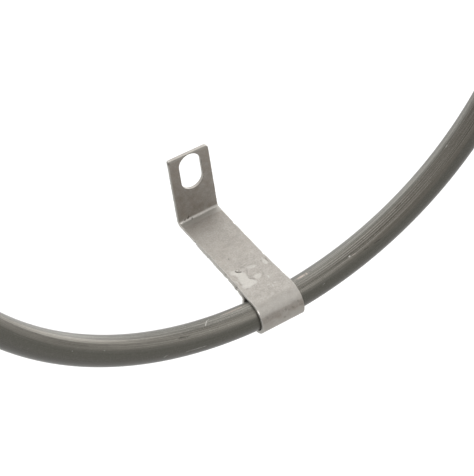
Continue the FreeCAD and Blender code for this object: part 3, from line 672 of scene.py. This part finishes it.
def fix_normals(obj):
    """Turns every face outward."""
    work = bmesh.new()
    work.from_mesh(obj.data)
    bmesh.ops.recalc_face_normals(work, faces=work.faces)
    work.to_mesh(obj.data)
    work.free()


def cut_away(piece, cutters):
    """Cuts each tool out of the piece and removes the tools."""
    fix_normals(piece)
    for tool in cutters:
        fix_normals(tool)
        step = piece.modifiers.new("cut", "BOOLEAN")
        step.operation, step.object, step.solver = "DIFFERENCE", tool, "EXACT"
    solid, cut = piece.data, piece.evaluated_get(bpy.context.evaluated_depsgraph_get())
    result = bpy.data.meshes.new_from_object(cut)
    piece.modifiers.clear()
    piece.data = result
    bpy.data.meshes.remove(solid)
    for tool in cutters:
        bpy.data.objects.remove(tool)
    soften(piece.data, 30.0)
    print(piece.name, "cut with", len(cutters), "punches")


# %% [markdown]
# The slot takes a screw of 5 or 6 mm and lets the element be shifted before it is tightened. Its sheared wall
# is bare and bright, so the punch carries that colour into the cut.

# %% Pierce the slot
SLOT_BEVEL = 0.08
SHEARED_WALL = (1.7, 0.0, 0.2, 1.0)    # bright, dark, warm
slot_punch = punch(STRIP_T, SLOT_W / 2, SLOT_BEVEL, (0.0, WRAP_Z + SLOT_Z), SLOT_L / 2 - SLOT_W / 2, sides=72)
paint_marks(slot_punch, [SHEARED_WALL] * len(slot_punch.data.vertices))
cut_away(bracket, [slot_punch])
stand_for(bracket, "support_bracket")

# %% [markdown]
# ## The flange
# A blanked plate with softened edges. The legs pass through it and are brazed in, and two screws hold it.

# %% Blank the plate and pierce it
ROUND_IN, ROUND_OFF = 0.08, 0.25       # a softened edge, in two steps
PLATE = (
    (-FLANGE_T, -ROUND_OFF), (-FLANGE_T + ROUND_IN, -ROUND_IN), (-FLANGE_T + ROUND_OFF, 0.0),
    (-ROUND_OFF, 0.0), (-ROUND_IN, -ROUND_IN), (0.0, -ROUND_OFF),
)
HOLES = ((SCREW_X, SCREW_R, 0.2), (LEG_X, TUBE_R, 0.05))    # place, radius, bevel
flange = blank("flange_plate", PLATE, FLANGE_L / 2 - FLANGE_W / 2, FLANGE_W / 2)
cut_away(flange, [punch(FLANGE_T, radius, bevel, (sign * x, 0)) for x, radius, bevel in HOLES for sign in (-1, 1)])
stand_for(flange, "mounting_flange")

# %% [markdown]
# ### The braze
# Each leg is brazed to the plate. Molten brass creeps up the tube and wets the plate in a hollow curve, and
# never quite evenly, so the fillet varies a little round the tube.

# %% Braze fillets
BOTH = (("left", -1), ("right", 1))
BRAZE_SIDES, HOLLOW_STEPS = 96, 8


def on_leg(sign, radius, turn, y):
    """A point at a radius and a turn round one leg."""
    return Vector((sign * LEG_X + radius * cos(turn), y, radius * sin(turn)))


for side, sign in BOTH:
    around = []
    for i in range(BRAZE_SIDES):
        turn = 2 * pi * i / BRAZE_SIDES
        wave = Vector((cos(turn), sin(turn), sign * 2.0))
        foot = BRAZE_LEG * (0.86 + 0.12 * noise.noise(wave * 2.1))
        rise = BRAZE_LEG * (0.84 + 0.14 * noise.noise(wave * 3.3 + Vector((4, 0, 0))))
        profile = [(TUBE_R, 0.0)]
        for j in range(HOLLOW_STEPS + 1):
            slide = pi / 2 * j / HOLLOW_STEPS
            profile.append((TUBE_R + foot * (1 - sin(slide)), -rise * (1 - cos(slide))))
        around.append([(on_leg(sign, radius, turn, -FLANGE_T + up), (turn * 0.005, up * MM))
                       for radius, up in profile + profile[:1]])
    braze = sweep(f"braze_fillet_{side}", around, closed_path=True, smooth_angle=60.0)
    fix_normals(braze)
    stand_for(braze, f"braze_ring_{side}")

# %% [markdown]
# ## The terminal studs
# Each pin is thin inside the element and carries a rolled M4 thread outside. The thread is a helix in a
# lattice of rings: each point's radius depends on where it is along the pitch, after its own turn.

# %% Roll the thread
THREAD_DEPTH = 0.4
CREST, FLANK = 0.12, 0.76          # shares of half a pitch: the flat crest and the slope
RUN_IN, RUN_LENGTH = 0.5, 0.8      # plain start of the stud, and the length in which the thread deepens
NOSE = 0.5                         # chamfer at the tip
PIN_EDGE, STEP_EDGE = 0.3, 0.1
STUD_SIDES, ROWS_A_PITCH = 40, 14


def thread_radius(y, turn):
    """The stud's radius at a place along it and round it, in millimetres."""
    phase = ((y - STUD_Y) / PITCH - turn / (2 * pi)) % 1.0
    flank = min(1.0, max(0.0, (abs(phase - 0.5) * 2 - CREST) / FLANK))
    fade = min(1.0, (y - STUD_Y - RUN_IN) / RUN_LENGTH) if y > STUD_Y + RUN_IN else 0.0
    radius = STUD_R - THREAD_DEPTH * flank * fade
    tip = STUD_END - y
    return min(radius, STUD_R - NOSE + tip) if tip < NOSE else radius


stops = [(PIN_TIP, 0.001), (PIN_TIP, PIN_R - PIN_EDGE), (PIN_TIP + PIN_EDGE, PIN_R), (STUD_Y, PIN_R),
         (STUD_Y, STUD_R - STEP_EDGE)]
count = round((STUD_END - STUD_Y) / (PITCH / ROWS_A_PITCH))
stops += [(STUD_Y + STEP_EDGE + (STUD_END - STUD_Y - STEP_EDGE) * i / count, None) for i in range(count + 1)]
stops.append((STUD_END, 0.001))
for side, sign in BOTH:
    rows = []
    for y, fixed in stops:
        loop = []
        for j in range(STUD_SIDES + 1):
            turn = 2 * pi * (j % STUD_SIDES) / STUD_SIDES
            radius = fixed or thread_radius(y, turn)
            loop.append((on_leg(sign, radius, turn, y), (y * MM, j / STUD_SIDES)))
        rows.append(loop)
    stud = sweep(f"terminal_stud_{side}", rows, smooth_angle=40.0)
    fix_normals(stud)
    stand_for(stud, f"terminal_pin_{side}")

# %% [markdown]
# ## Finishes
# A finish is a Principled shader fed by patterns. Chains of nodes are hard to read when each node and link has
# its own line, so a small class gives them short names: plus, times, mix, and coats of colour in layers.

# %% Short names for nodes


class Wires:
    """Short ways to add and join nodes in one tree."""

    def __init__(self, tree):
        self.tree = tree

    def node(self, kind, **settings):
        made = self.tree.nodes.new("ShaderNode" + kind)
        for key, value in settings.items():
            setattr(made, key, value)
        return made

    def put(self, value, socket):
        if isinstance(value, bpy.types.NodeSocket):
            self.tree.links.new(value, socket)
        else:
            socket.default_value = value

    def feed(self, node, *values, **named):
        """Links or sets a node's inputs, in order or by name with _ for a space. Returns its outputs."""
        for value, socket in zip(values, node.inputs):
            self.put(value, socket)
        for key, value in named.items():
            self.put(value, node.inputs[key.replace("_", " ")])
        return node.outputs

    def math(self, operation, a, b=0.0, clamp=False):
        return self.feed(self.node("Math", operation=operation, use_clamp=clamp), a, b)[0]

    def plus(self, a, b):
        return self.math("ADD", a, b)

    def minus(self, a, b, clamp=False):
        return self.math("SUBTRACT", a, b, clamp)

    def times(self, a, b, clamp=False):
        return self.math("MULTIPLY", a, b, clamp)

    def over(self, a, b):
        return self.math("DIVIDE", a, b)

    def remap(self, value, low, high, to_low=0.0, to_high=1.0, smooth=False):
        ranged = self.node("MapRange", interpolation_type="SMOOTHSTEP" if smooth else "LINEAR")
        return self.feed(ranged, value, low, high, to_low, to_high)[0]

    def mix(self, amount, a, b):
        made = self.node("Mix", data_type="RGBA")
        for value, socket in ((amount, "Factor"), (a, 6), (b, 7)):    # 6 and 7 are the two colours
            self.put(value, made.inputs[socket])
        return made.outputs[2]

    def layers(self, tone, *coats):
        """Lays coats over a tone. Each coat is a mask and a colour."""
        for mask, color in coats:
            tone = self.mix(mask, tone, (*color, 1))
        return tone

    def coords(self, kind):
        return self.node("TexCoord").outputs[kind]

    def split(self, vector):
        return self.feed(self.node("SeparateXYZ"), vector)

    def join(self, x, y, z=0.0):
        return self.feed(self.node("CombineXYZ"), x, y, z)[0]

    def noise(self, vector, scale, detail, rough):
        made = self.node("TexNoise")
        return self.feed(made, Vector=vector, Scale=scale, Detail=detail, Roughness=rough)["Fac"]

    def bump(self, height, strength, distance, **normal):
        return self.feed(self.node("Bump"), Height=height, Strength=strength, Distance=distance, **normal)[0]

    def group(self, tree, *values, **named):
        return self.feed(self.node("Group", node_tree=tree), *values, **named)


print("node helpers:", ", ".join(name for name in vars(Wires) if not name.startswith("_")))

# %% [markdown]
# Patterns that several finishes share are node groups with plain inputs and outputs. The shader itself always
# stays in the material. Two more helpers start a material and give a piece its finish.

# %% New groups and new finishes


def new_group(name, inputs, outputs):
    """A group of plain numbers: inputs with their usual values, and the outputs' names."""
    group = bpy.data.node_groups.new(name, "ShaderNodeTree")
    for label, value in inputs.items():
        group.interface.new_socket(name=label, in_out="INPUT", socket_type="NodeSocketFloat").default_value = value
    for label in outputs:
        group.interface.new_socket(name=label, in_out="OUTPUT", socket_type="NodeSocketFloat")
    print("group:", name, "gives", ", ".join(outputs))
    return group, Wires(group), group.nodes.new("NodeGroupInput").outputs, group.nodes.new("NodeGroupOutput")


def new_finish(name, color, roughness, metallic):
    """A material with its Principled shader, ready for patterns."""
    finish = bpy.data.materials.new(name)
    finish.use_nodes = True
    w, shader = Wires(finish.node_tree), finish.node_tree.nodes["Principled BSDF"]
    w.feed(shader, Base_Color=(*color, 1), Roughness=roughness, Metallic=metallic)
    return finish, w, shader


def wear(piece, finish):
    """Gives a piece one finish in every material slot."""
    if not piece.material_slots:
        piece.data.materials.append(finish)
    for slot in piece.material_slots:
        slot.material = finish


# %% [markdown]
# ### Grain
# Tumbled or rolled sheet steel is never one grey. A fine grain, slow clouds and a few dark specks give it its
# tooth. Their sizes are in millimetres of object space, so every piece has the same scale.

# %% The grain group
grain_group, w, given, result = new_group(
    "metal grain", {"Grain Size": 0.25, "Cloud Size": 4.0, "Specks": 0.3}, ("Grain", "Clouds", "Specks"))
place = w.coords("Object")
cloud_scale = w.over(1000.0, given["Cloud Size"])
fine = w.noise(place, w.over(1000.0, given["Grain Size"]), 2.0, 0.6)
cloud = w.noise(place, cloud_scale, 4.0, 0.55)
dots = w.noise(place, w.times(cloud_scale, 3.2), 2.0, 0.7)
limit = w.minus(0.86, w.times(given["Specks"], 0.2))
w.feed(result, w.remap(fine, 0.3, 0.7), w.remap(cloud, 0.3, 0.7), w.remap(dots, limit, w.plus(limit, 0.04)))

# %% [markdown]
# ### Draw marks
# A tube pulled through a die carries fine lines along its whole length. The UV's V is turned into a circle,
# so that the pattern closes round the tube, and stretched hugely along U.

# %% The draw mark group
BREAK_LENGTH = 18.0    # millimetres between breaks in the lines


def unrolled(w):
    """A place on the tube's skin: millimetres along it, and share of a turn round it."""
    along, around, _ = w.split(w.coords("UV"))
    return w.times(along, 1000.0), around


draw_group, w, given, result = new_group(
    "draw marks", {"Fineness": 6.0, "Stretch": 60.0}, ("Lines", "Bands", "Breaks"))
gone, around = unrolled(w)
turn = w.times(around, 2 * pi)
turned = w.math("COSINE", turn), w.math("SINE", turn)
circle = w.join(*turned, w.over(gone, given["Stretch"]))
short = w.join(*turned, w.over(gone, BREAK_LENGTH))
lines = w.noise(circle, w.times(given["Fineness"], 4.0), 3.0, 0.6)
bands = w.noise(circle, given["Fineness"], 2.0, 0.5)
breaks = w.noise(short, w.times(given["Fineness"], 3.0), 3.0, 0.6)
w.feed(result, w.remap(lines, 0.3, 0.7), w.remap(bands, 0.3, 0.7), w.remap(breaks, 0.35, 0.65))

# %% [markdown]
# ### Strokes
# A scratch, a smear or a speck on the tube is a single stroke: a stretched ellipse on the unrolled skin, with
# a torn rim. One group draws it, and each stroke is a copy of the group with its own place and size.

# %% The stroke group
GIRTH = 2 * pi * TUBE_R
stroke_group, w, given, result = new_group(
    "stroke", {"Along": 0.0, "Around": 0.0, "Length": 4.0, "Width": 0.3, "Lean": 0.0, "Torn": 0.5}, ("Mask",))
gone, around = unrolled(w)
dx = w.minus(gone, given["Along"])
dy = w.times(w.minus(around, given["Around"]), GIRTH)
c, s = w.math("COSINE", given["Lean"]), w.math("SINE", given["Lean"])
run = w.over(w.plus(w.times(dx, c), w.times(dy, s)), w.times(given["Length"], 0.5))
side = w.over(w.minus(w.times(dy, c), w.times(dx, s)), w.times(given["Width"], 0.5))
far = w.math("SQRT", w.plus(w.times(run, run), w.times(side, side)))
rag = w.noise(w.join(gone, w.times(around, GIRTH)), 1.9, 3.0, 0.6)
rag = w.times(w.minus(rag, 0.5), w.times(given["Torn"], 3.0))
w.feed(result, w.remap(w.plus(far, rag), 1.15, 0.7))

# %% [markdown]
# ### Dark drawn steel
# Sheath tube is bright when drawn and goes dark and satin when it is annealed. The draw marks stay, sharper on one
# flank, where the die had picked up metal. A brownish bloom runs beside them, and the rest is a smooth greenish
# grey. A colour ramp round the tube carries these flanks, and also paints light and shade: a painted highlight
# along the inner side, which faces up at the foot, and painted shade on the lower front. Slow bands let it drift a
# little.

# %% Colour round the tube
FOOT = 0.5 * outside[-1][3]     # distance along the tube to the foot of the ring
sheath_steel, w, shader = new_finish("sheath_steel_finish", (0.12, 0.118, 0.105), 0.34, 0.55)
marks = w.group(draw_group, Fineness=11.0, Stretch=2500.0)
grain = w.group(grain_group, Grain_Size=0.3, Cloud_Size=2.4, Specks=0.45)
gone, around = unrolled(w)
drift = w.plus(around, w.times(w.minus(marks["Bands"], 0.5), 0.016))
drift = w.plus(drift, w.times(w.minus(grain["Clouds"], 0.5), 0.008))

# place in the turn, colour: painted shade on the lower front, brown bloom, drawn side with a painted highlight on
# top
TURNS_WITH_PAINTED_LIGHT = (
    (0.0, (0.09, 0.086, 0.076)), (0.16, (0.068, 0.064, 0.056)), (0.22, (0.077, 0.073, 0.062)),
    (0.31, (0.078, 0.075, 0.061)), (0.335, (0.09, 0.086, 0.072)), (0.36, (0.121, 0.113, 0.095)),
    (0.42, (0.122, 0.113, 0.094)), (0.445, (0.094, 0.088, 0.075)), (0.485, (0.097, 0.093, 0.08)),
    (0.51, (0.162, 0.157, 0.14)), (0.55, (0.18, 0.176, 0.158)), (0.6, (0.135, 0.133, 0.121)),
    (0.7, (0.099, 0.096, 0.086)), (1.0, (0.09, 0.086, 0.076)),
)
ramp = w.node("ValToRGB")
while len(ramp.color_ramp.elements) < len(TURNS_WITH_PAINTED_LIGHT):
    ramp.color_ramp.elements.new(1.0)
for stop, (turn, color) in zip(ramp.color_ramp.elements, TURNS_WITH_PAINTED_LIGHT):
    stop.position, stop.color = turn, (*color, 1.0)
w.put(drift, ramp.inputs[0])
print("stops round the tube:", len(TURNS_WITH_PAINTED_LIGHT))

# %% [markdown]
# Over the ramp go coats: a painted highlight near the top on the left, a darker right end with a brown bloom, the
# draw marks, light and dark, the grain and a few specks. Each stays on its own band or stretch of the tube.

# %% Coats on the sheath


def at_angle(angle):
    """Distance along the tube at an angle from the foot, to the right."""
    return FOOT + radians(angle) * RING_R


def band(middle, half, soft):
    """A band round the tube, by its place in the turn."""
    return w.remap(w.math("ABSOLUTE", w.minus(drift, middle)), half + soft, half, smooth=True)


def stretch(start, end, amount=1.0):
    """Rises from one angle at the foot to another, up to an amount."""
    return w.remap(gone, at_angle(start), at_angle(end), 0.0, amount, smooth=True)


strength = w.plus(0.12, w.times(band(0.465, 0.08, 0.05), 0.88))
strength = w.times(strength, w.remap(marks["Breaks"], 0.0, 1.0, 0.35))
tone = w.layers(
    ramp.outputs[0],
    # painted highlight in a band near the top of the tube, left of the foot
    (w.times(band(0.425, 0.02, 0.03), stretch(-12.0, -34.0)), (0.198, 0.184, 0.158)),
    (stretch(18.0, 46.0, 0.45), (0.063, 0.06, 0.052)),
    (w.times(band(0.41, 0.06, 0.05), stretch(9.0, 24.0, 0.35)), (0.112, 0.092, 0.07)),
    (w.times(w.remap(marks["Lines"], 0.55, 0.75), strength), (0.285, 0.271, 0.239)),
    (w.times(w.remap(marks["Lines"], 0.45, 0.25), strength), (0.037, 0.035, 0.029)),
    (w.times(w.remap(grain["Grain"], 0.3, 1.0), 0.12), (0.276, 0.267, 0.239)),
    (w.times(grain["Specks"], 0.5), (0.046, 0.041, 0.035)),
)
print("nodes so far:", len(w.tree.nodes))

# %% [markdown]
# Where the tube was handled beside the bracket it has fine scratches, a pinkish smear and dark specks. Each is
# one stroke over the coats. The draw marks also stand up a little, as bump, and are rougher.

# %% Strokes on the sheath
LIGHT, PINK, DARK = (0.46, 0.45, 0.42), (0.46, 0.39, 0.34), (0.03, 0.028, 0.022)
# angle from the foot, turn, length, width, lean, torn, strength, colour
STROKES = (
    (-13.25, 0.487, 2.6, 0.2, 0.88, 0.35, 0.75, LIGHT),
    (-12.5, 0.522, 1.4, 0.16, 0.6, 0.4, 0.45, LIGHT),
    (-15.9, 0.243, 5.2, 0.17, 0.02, 0.6, 0.55, LIGHT),
    (-17.8, 0.238, 1.6, 0.18, 0.1, 0.7, 0.35, LIGHT),
    (-22, 0.235, 1.4, 0.17, 0.6, 0.5, 0.55, LIGHT),
    (-34.2, 0.352, 0.5, 0.22, 0, 0.4, 0.4, LIGHT),
    (-40.6, 0.322, 0.4, 0.28, 0, 0.4, 0.35, LIGHT),
    (-7.3, 0.527, 8, 0.75, 0.03, 0.9, 0.42, PINK),
    (-9.6, 0.52, 3, 0.3, 0.03, 0.8, 0.35, LIGHT),
    (-18.7, 0.398, 2.8, 0.6, -0.06, 0.95, 0.55, DARK),
    (-17.6, 0.396, 1.4, 0.3, -0.05, 0.6, 0.4, DARK),
    (-15.6, 0.458, 2.6, 0.2, -0.05, 0.6, 0.35, DARK),
    (6.2, 0.526, 3.6, 0.26, 0.02, 0.6, 0.85, PINK),
    (6.5, 0.513, 2.6, 0.26, 0.02, 0.6, 0.85, PINK),
    (7.5, 0.52, 0.5, 0.9, 0, 0.6, 0.6, PINK),
    (8.3, 0.512, 0.8, 0.4, 0, 0.5, 0.45, DARK),
    (15.35, 0.396, 0.7, 0.4, 0, 0.3, 0.9, LIGHT),
    (16.1, 0.385, 1.4, 0.22, -0.15, 0.6, 0.45, PINK),
    (18.5, 0.35, 2, 0.32, -0.2, 0.7, 0.4, DARK),
    (20.8, 0.334, 3, 0.36, -0.1, 0.7, 0.5, DARK),
    (27.6, 0.455, 2.6, 0.4, 0.02, 0.8, 0.4, DARK),
    (41, 0.48, 0.9, 0.4, 0, 0.6, 0.35, LIGHT),
    (9, 0.315, 0.9, 0.18, 0.2, 0.5, 0.35, LIGHT),
)
for angle, *shape, amount, color in STROKES:
    mask = w.group(stroke_group, at_angle(angle), *shape)["Mask"]
    tone = w.layers(tone, (w.times(mask, amount), color))
fine = w.bump(grain["Grain"], 0.12, 0.00002)
raised = w.bump(w.times(marks["Lines"], strength), 0.5, 0.00004, Normal=fine)
w.feed(shader, Base_Color=tone, Roughness=w.remap(marks["Lines"], 0.0, 1.0, 0.3, 0.4), Normal=raised)
wear(sheath, sheath_steel)
print("strokes:", len(STROKES))

# %% [markdown]
# ### Stamped strip steel
# The strip is bare stainless steel with a fine matt grain from rolling and tumbling. It reflects softly, so it is
# only partly metallic. Painted highlights brighten the wrap, the square fold and the edges, stains and painted
# shade darken it, heat stains are brown, and the weld's bare metal is nearly white. The colours carried by the mesh
# say where.

# %% The bracket's finish
bracket_steel, w, shader = new_finish("bracket_steel_finish", (0.3, 0.286, 0.262), 0.5, 0.3)
grain = w.group(grain_group, Grain_Size=0.28, Cloud_Size=3.2, Specks=0.3)
blotch = w.group(grain_group, Grain_Size=0.42, Cloud_Size=1.6, Specks=0.3)
marks_and_painted_light = w.node("VertexColor", layer_name="marks").outputs["Color"]
bright, dark, warm = w.feed(w.node("SeparateColor"), marks_and_painted_light)
# the bright channel holds bare metal and painted highlights, the dark one stains, pits and painted shade
tone = w.layers(
    w.mix(grain["Clouds"], (0.26, 0.245, 0.218, 1), (0.321, 0.301, 0.272, 1)),
    (w.times(blotch["Clouds"], 0.45), (0.4, 0.378, 0.345)),
    (w.remap(blotch["Grain"], 0.55, 1.0, 0.0, 0.5), (0.437, 0.412, 0.383)),
    (w.remap(blotch["Grain"], 0.45, 0.0, 0.0, 0.42), (0.195, 0.179, 0.161)),
    (w.times(grain["Grain"], 0.25), (0.372, 0.348, 0.323)),
    (w.times(blotch["Specks"], 0.4), (0.149, 0.135, 0.116)),
    (w.times(warm, 0.55), (0.298, 0.246, 0.2)),
    (w.times(bright, 0.8, clamp=True), (0.456, 0.439, 0.406)),
    (w.times(w.remap(blotch["Grain"], 0.55, 0.2, 0.0, 0.4), bright, clamp=True), (0.345, 0.33, 0.305)),
    (w.minus(bright, 1.25, clamp=True), (0.92, 0.88, 0.82)),
    (w.times(dark, 0.9, clamp=True), (0.033, 0.028, 0.022)),
)
w.feed(shader, Base_Color=tone, Roughness=w.remap(grain["Grain"], 0.0, 1.0, 0.44, 0.58),
       Metallic=w.remap(bright, 0.0, 1.0, 0.3, 0.55), Normal=w.bump(grain["Grain"], 0.35, 0.00005))
wear(bracket, bracket_steel)
print("bracket finish:", len(w.tree.nodes), "nodes")

# %% [markdown]
# ### Plain metals
# The flange is sheet steel, the braze is brass, the studs are steel and the nuts are zinc plated. All are
# cloudy and grained in the same way, so one recipe with other numbers serves them.

# %% One recipe for cloudy finishes
# grain size, amount, strength and shade of the specks, depth of the grain
METAL = (0.25, 0.06, 0.3, 0.4, 0.00003)
MINERAL = (0.3, 0.3, 0.35, 0.5, 0.00004)


def cloudy(name, dark, light, low, high, cloud, metallic=0.0, kind=MINERAL):
    """Slow clouds from dark to light, a few specks, and a grain that roughens from low to high."""
    size, specks, share, shade, depth = kind
    finish, w, shader = new_finish(f"{name}_finish", dark, low, metallic)
    grain = w.group(grain_group, size, cloud, specks)
    clouds = w.mix(grain["Clouds"], (*dark, 1), (*light, 1))
    tone = w.layers(clouds, (w.times(grain["Specks"], share), [c * shade for c in dark]))
    w.feed(shader, Base_Color=tone, Roughness=w.remap(grain["Grain"], 0.0, 1.0, low, high),
           Normal=w.bump(grain["Grain"], 0.2, depth))
    print(finish.name, "roughness", low, "to", high)
    return finish


flange_steel = cloudy("flange_steel", (0.25, 0.243, 0.225), (0.33, 0.322, 0.3), 0.36, 0.5, 5.0, 0.6, METAL)
braze_metal = cloudy("braze", (0.36, 0.26, 0.13), (0.48, 0.37, 0.2), 0.3, 0.45, 2.0, 0.7, METAL)
stud_steel = cloudy("stud", (0.3, 0.293, 0.275), (0.38, 0.372, 0.35), 0.3, 0.42, 5.0, 0.7, METAL)
zinc = cloudy("zinc", (0.34, 0.345, 0.335), (0.43, 0.432, 0.415), 0.26, 0.4, 2.5, 0.7, METAL)
coil_wire = cloudy("coil_wire", (0.2, 0.188, 0.172), (0.28, 0.265, 0.245), 0.4, 0.5, 5.0, 0.6, METAL)

# %% [markdown]
# ### Beads, seals and filling
# The beads are glazed steatite, ivory and nearly smooth, the seals a brown-red resin, and the packed magnesia
# is chalky. The same recipe serves them, not metallic and with more specks.

# %% Finishes that are not metal, and who wears what
steatite = cloudy("steatite", (0.5, 0.465, 0.39), (0.6, 0.565, 0.49), 0.3, 0.42, 2.0)
resin = cloudy("seal_resin", (0.32, 0.1, 0.06), (0.42, 0.15, 0.09), 0.45, 0.6, 2.0)
magnesia = cloudy("magnesia", (0.55, 0.54, 0.5), (0.66, 0.65, 0.62), 0.8, 0.9, 3.0)
wear(flange, flange_steel)
for side, _ in BOTH:
    wear(bpy.data.objects[f"braze_fillet_{side}"], braze_metal)
    wear(bpy.data.objects[f"terminal_stud_{side}"], stud_steel)
    for node in ("inner_nut", "plain_washer", "spring_washer", "outer_nut"):
        wear(frame["nodes"][f"{node}_{side}"], zinc)
    wear(frame["nodes"][f"ceramic_bead_{side}"], steatite)
    wear(frame["nodes"][f"end_seal_{side}"], resin)
wear(frame["nodes"]["magnesia_filling"], magnesia)
wear(frame["nodes"]["resistance_coil"], coil_wire)
print("finishes:", len(bpy.data.materials))

# %% [markdown]
# ## The studio
# A pale floor lies well below the hanging ring. The world gives plain light, a little more from above and
# behind. Camera, mirror and glass rays see both as white, so steel mirrors the same white that lies behind it.

# %% Floor and world
FLOOR_Z = -0.42
GLOW = 0.68            # how much of the floor's white is its own
GREY_PAPER, WHITE = (0.34, 0.34, 0.335, 1), (1, 1, 1, 1)
SIDE_LEVEL, BACK_LEVEL = 0.64, 0.86


def seen(w):
    """1 for camera, mirror and glass rays, and 0 for the light that falls on the element."""
    path = w.node("LightPath").outputs
    straight = w.math("MAXIMUM", path["Is Camera Ray"], path["Is Glossy Ray"])
    return w.math("MAXIMUM", straight, path["Is Transmission Ray"])


bpy.ops.mesh.primitive_plane_add(size=8.0, location=(0, 0, FLOOR_Z))
floor = bpy.context.object
floor.name = "studio_floor"
paper = bpy.data.materials.new("paper_floor")
paper.use_nodes = True
paper.node_tree.nodes.remove(paper.node_tree.nodes["Principled BSDF"])
w = Wires(paper.node_tree)
lit = w.feed(w.node("BsdfDiffuse"), GREY_PAPER)[0]
glow = w.feed(w.node("Emission"), Strength=w.times(seen(w), GLOW))[0]
w.feed(paper.node_tree.nodes["Material Output"], Surface=w.feed(w.node("AddShader"), lit, glow)[0])
floor.data.materials.append(paper)

world = bpy.data.worlds.new("studio_world")
world.use_nodes = True
bpy.context.scene.world = world
w = Wires(world.node_tree)
_, behind, above = w.split(w.coords("Generated"))
lean = w.plus(w.times(above, 0.85), w.times(behind, 0.35))
level = w.remap(lean, -0.35, 0.85, SIDE_LEVEL, BACK_LEVEL, smooth=True)
w.feed(world.node_tree.nodes["Background"], Color=w.mix(seen(w), level, WHITE), Strength=1.0)
print("floor at", FLOOR_Z, "m, world from", SIDE_LEVEL, "to", BACK_LEVEL)

# %% [markdown]
# ### The lamps
# Four square soft boxes stand round the ring and face its foot. The one above and behind on the right is the
# main light, and the others fill the sides so that no flank goes black.

# %% Four soft boxes
AIM = Vector((0.0, -0.03, -0.1))
for name, place, size, power in (
    ("softbox_top", (0.26, 0.32, 0.62), 0.8, 4.1),
    ("softbox_front", (0.35, -0.65, 0.5), 0.4, 1.5),
    ("softbox_side", (0.8, 0.45, -0.05), 0.5, 2.9),
    ("softbox_back", (-0.2, 0.9, 0.15), 0.6, 2.2),
):
    lamp = bpy.data.lights.new(name, "AREA")
    lamp.shape, lamp.size, lamp.energy = "SQUARE", size, power
    box = place_object(name, lamp)
    box.location = place
    box.rotation_euler = (AIM - box.location).to_track_quat("-Z", "Y").to_euler()
    print(name, power, "W")

# %% [markdown]
# ## The camera
# A long lens stands in front of the ring, a little to its left, and looks down at the foot. Its place and the
# directions that are right and down for it fix the view, and the lens sets how large the foot is.

# %% Set the camera
PLACE = Vector((-0.17267, -0.38899, 0.20362))
FOCAL = 152.8
camera_data = bpy.data.cameras.new("camera")
camera_data.lens, camera_data.sensor_width = FOCAL, 36.0
camera_data.clip_start, camera_data.clip_end = 0.01, 20.0
camera = place_object("camera", camera_data)
right = Vector((0.8497, -0.5157, -0.11)).normalized()
down = Vector((-0.4248, -0.5459, -0.7222)).normalized()
forward = right.cross(down).normalized()
down = forward.cross(right).normalized()
camera.matrix_world = Matrix.Translation(PLACE) @ Matrix(
    ((right.x, -down.x, -forward.x), (right.y, -down.y, -forward.y), (right.z, -down.z, -forward.z))
).to_4x4()
bpy.context.scene.camera = camera
bpy.context.scene.view_settings.view_transform = "Standard"
print("camera looks along", [round(v, 3) for v in forward])
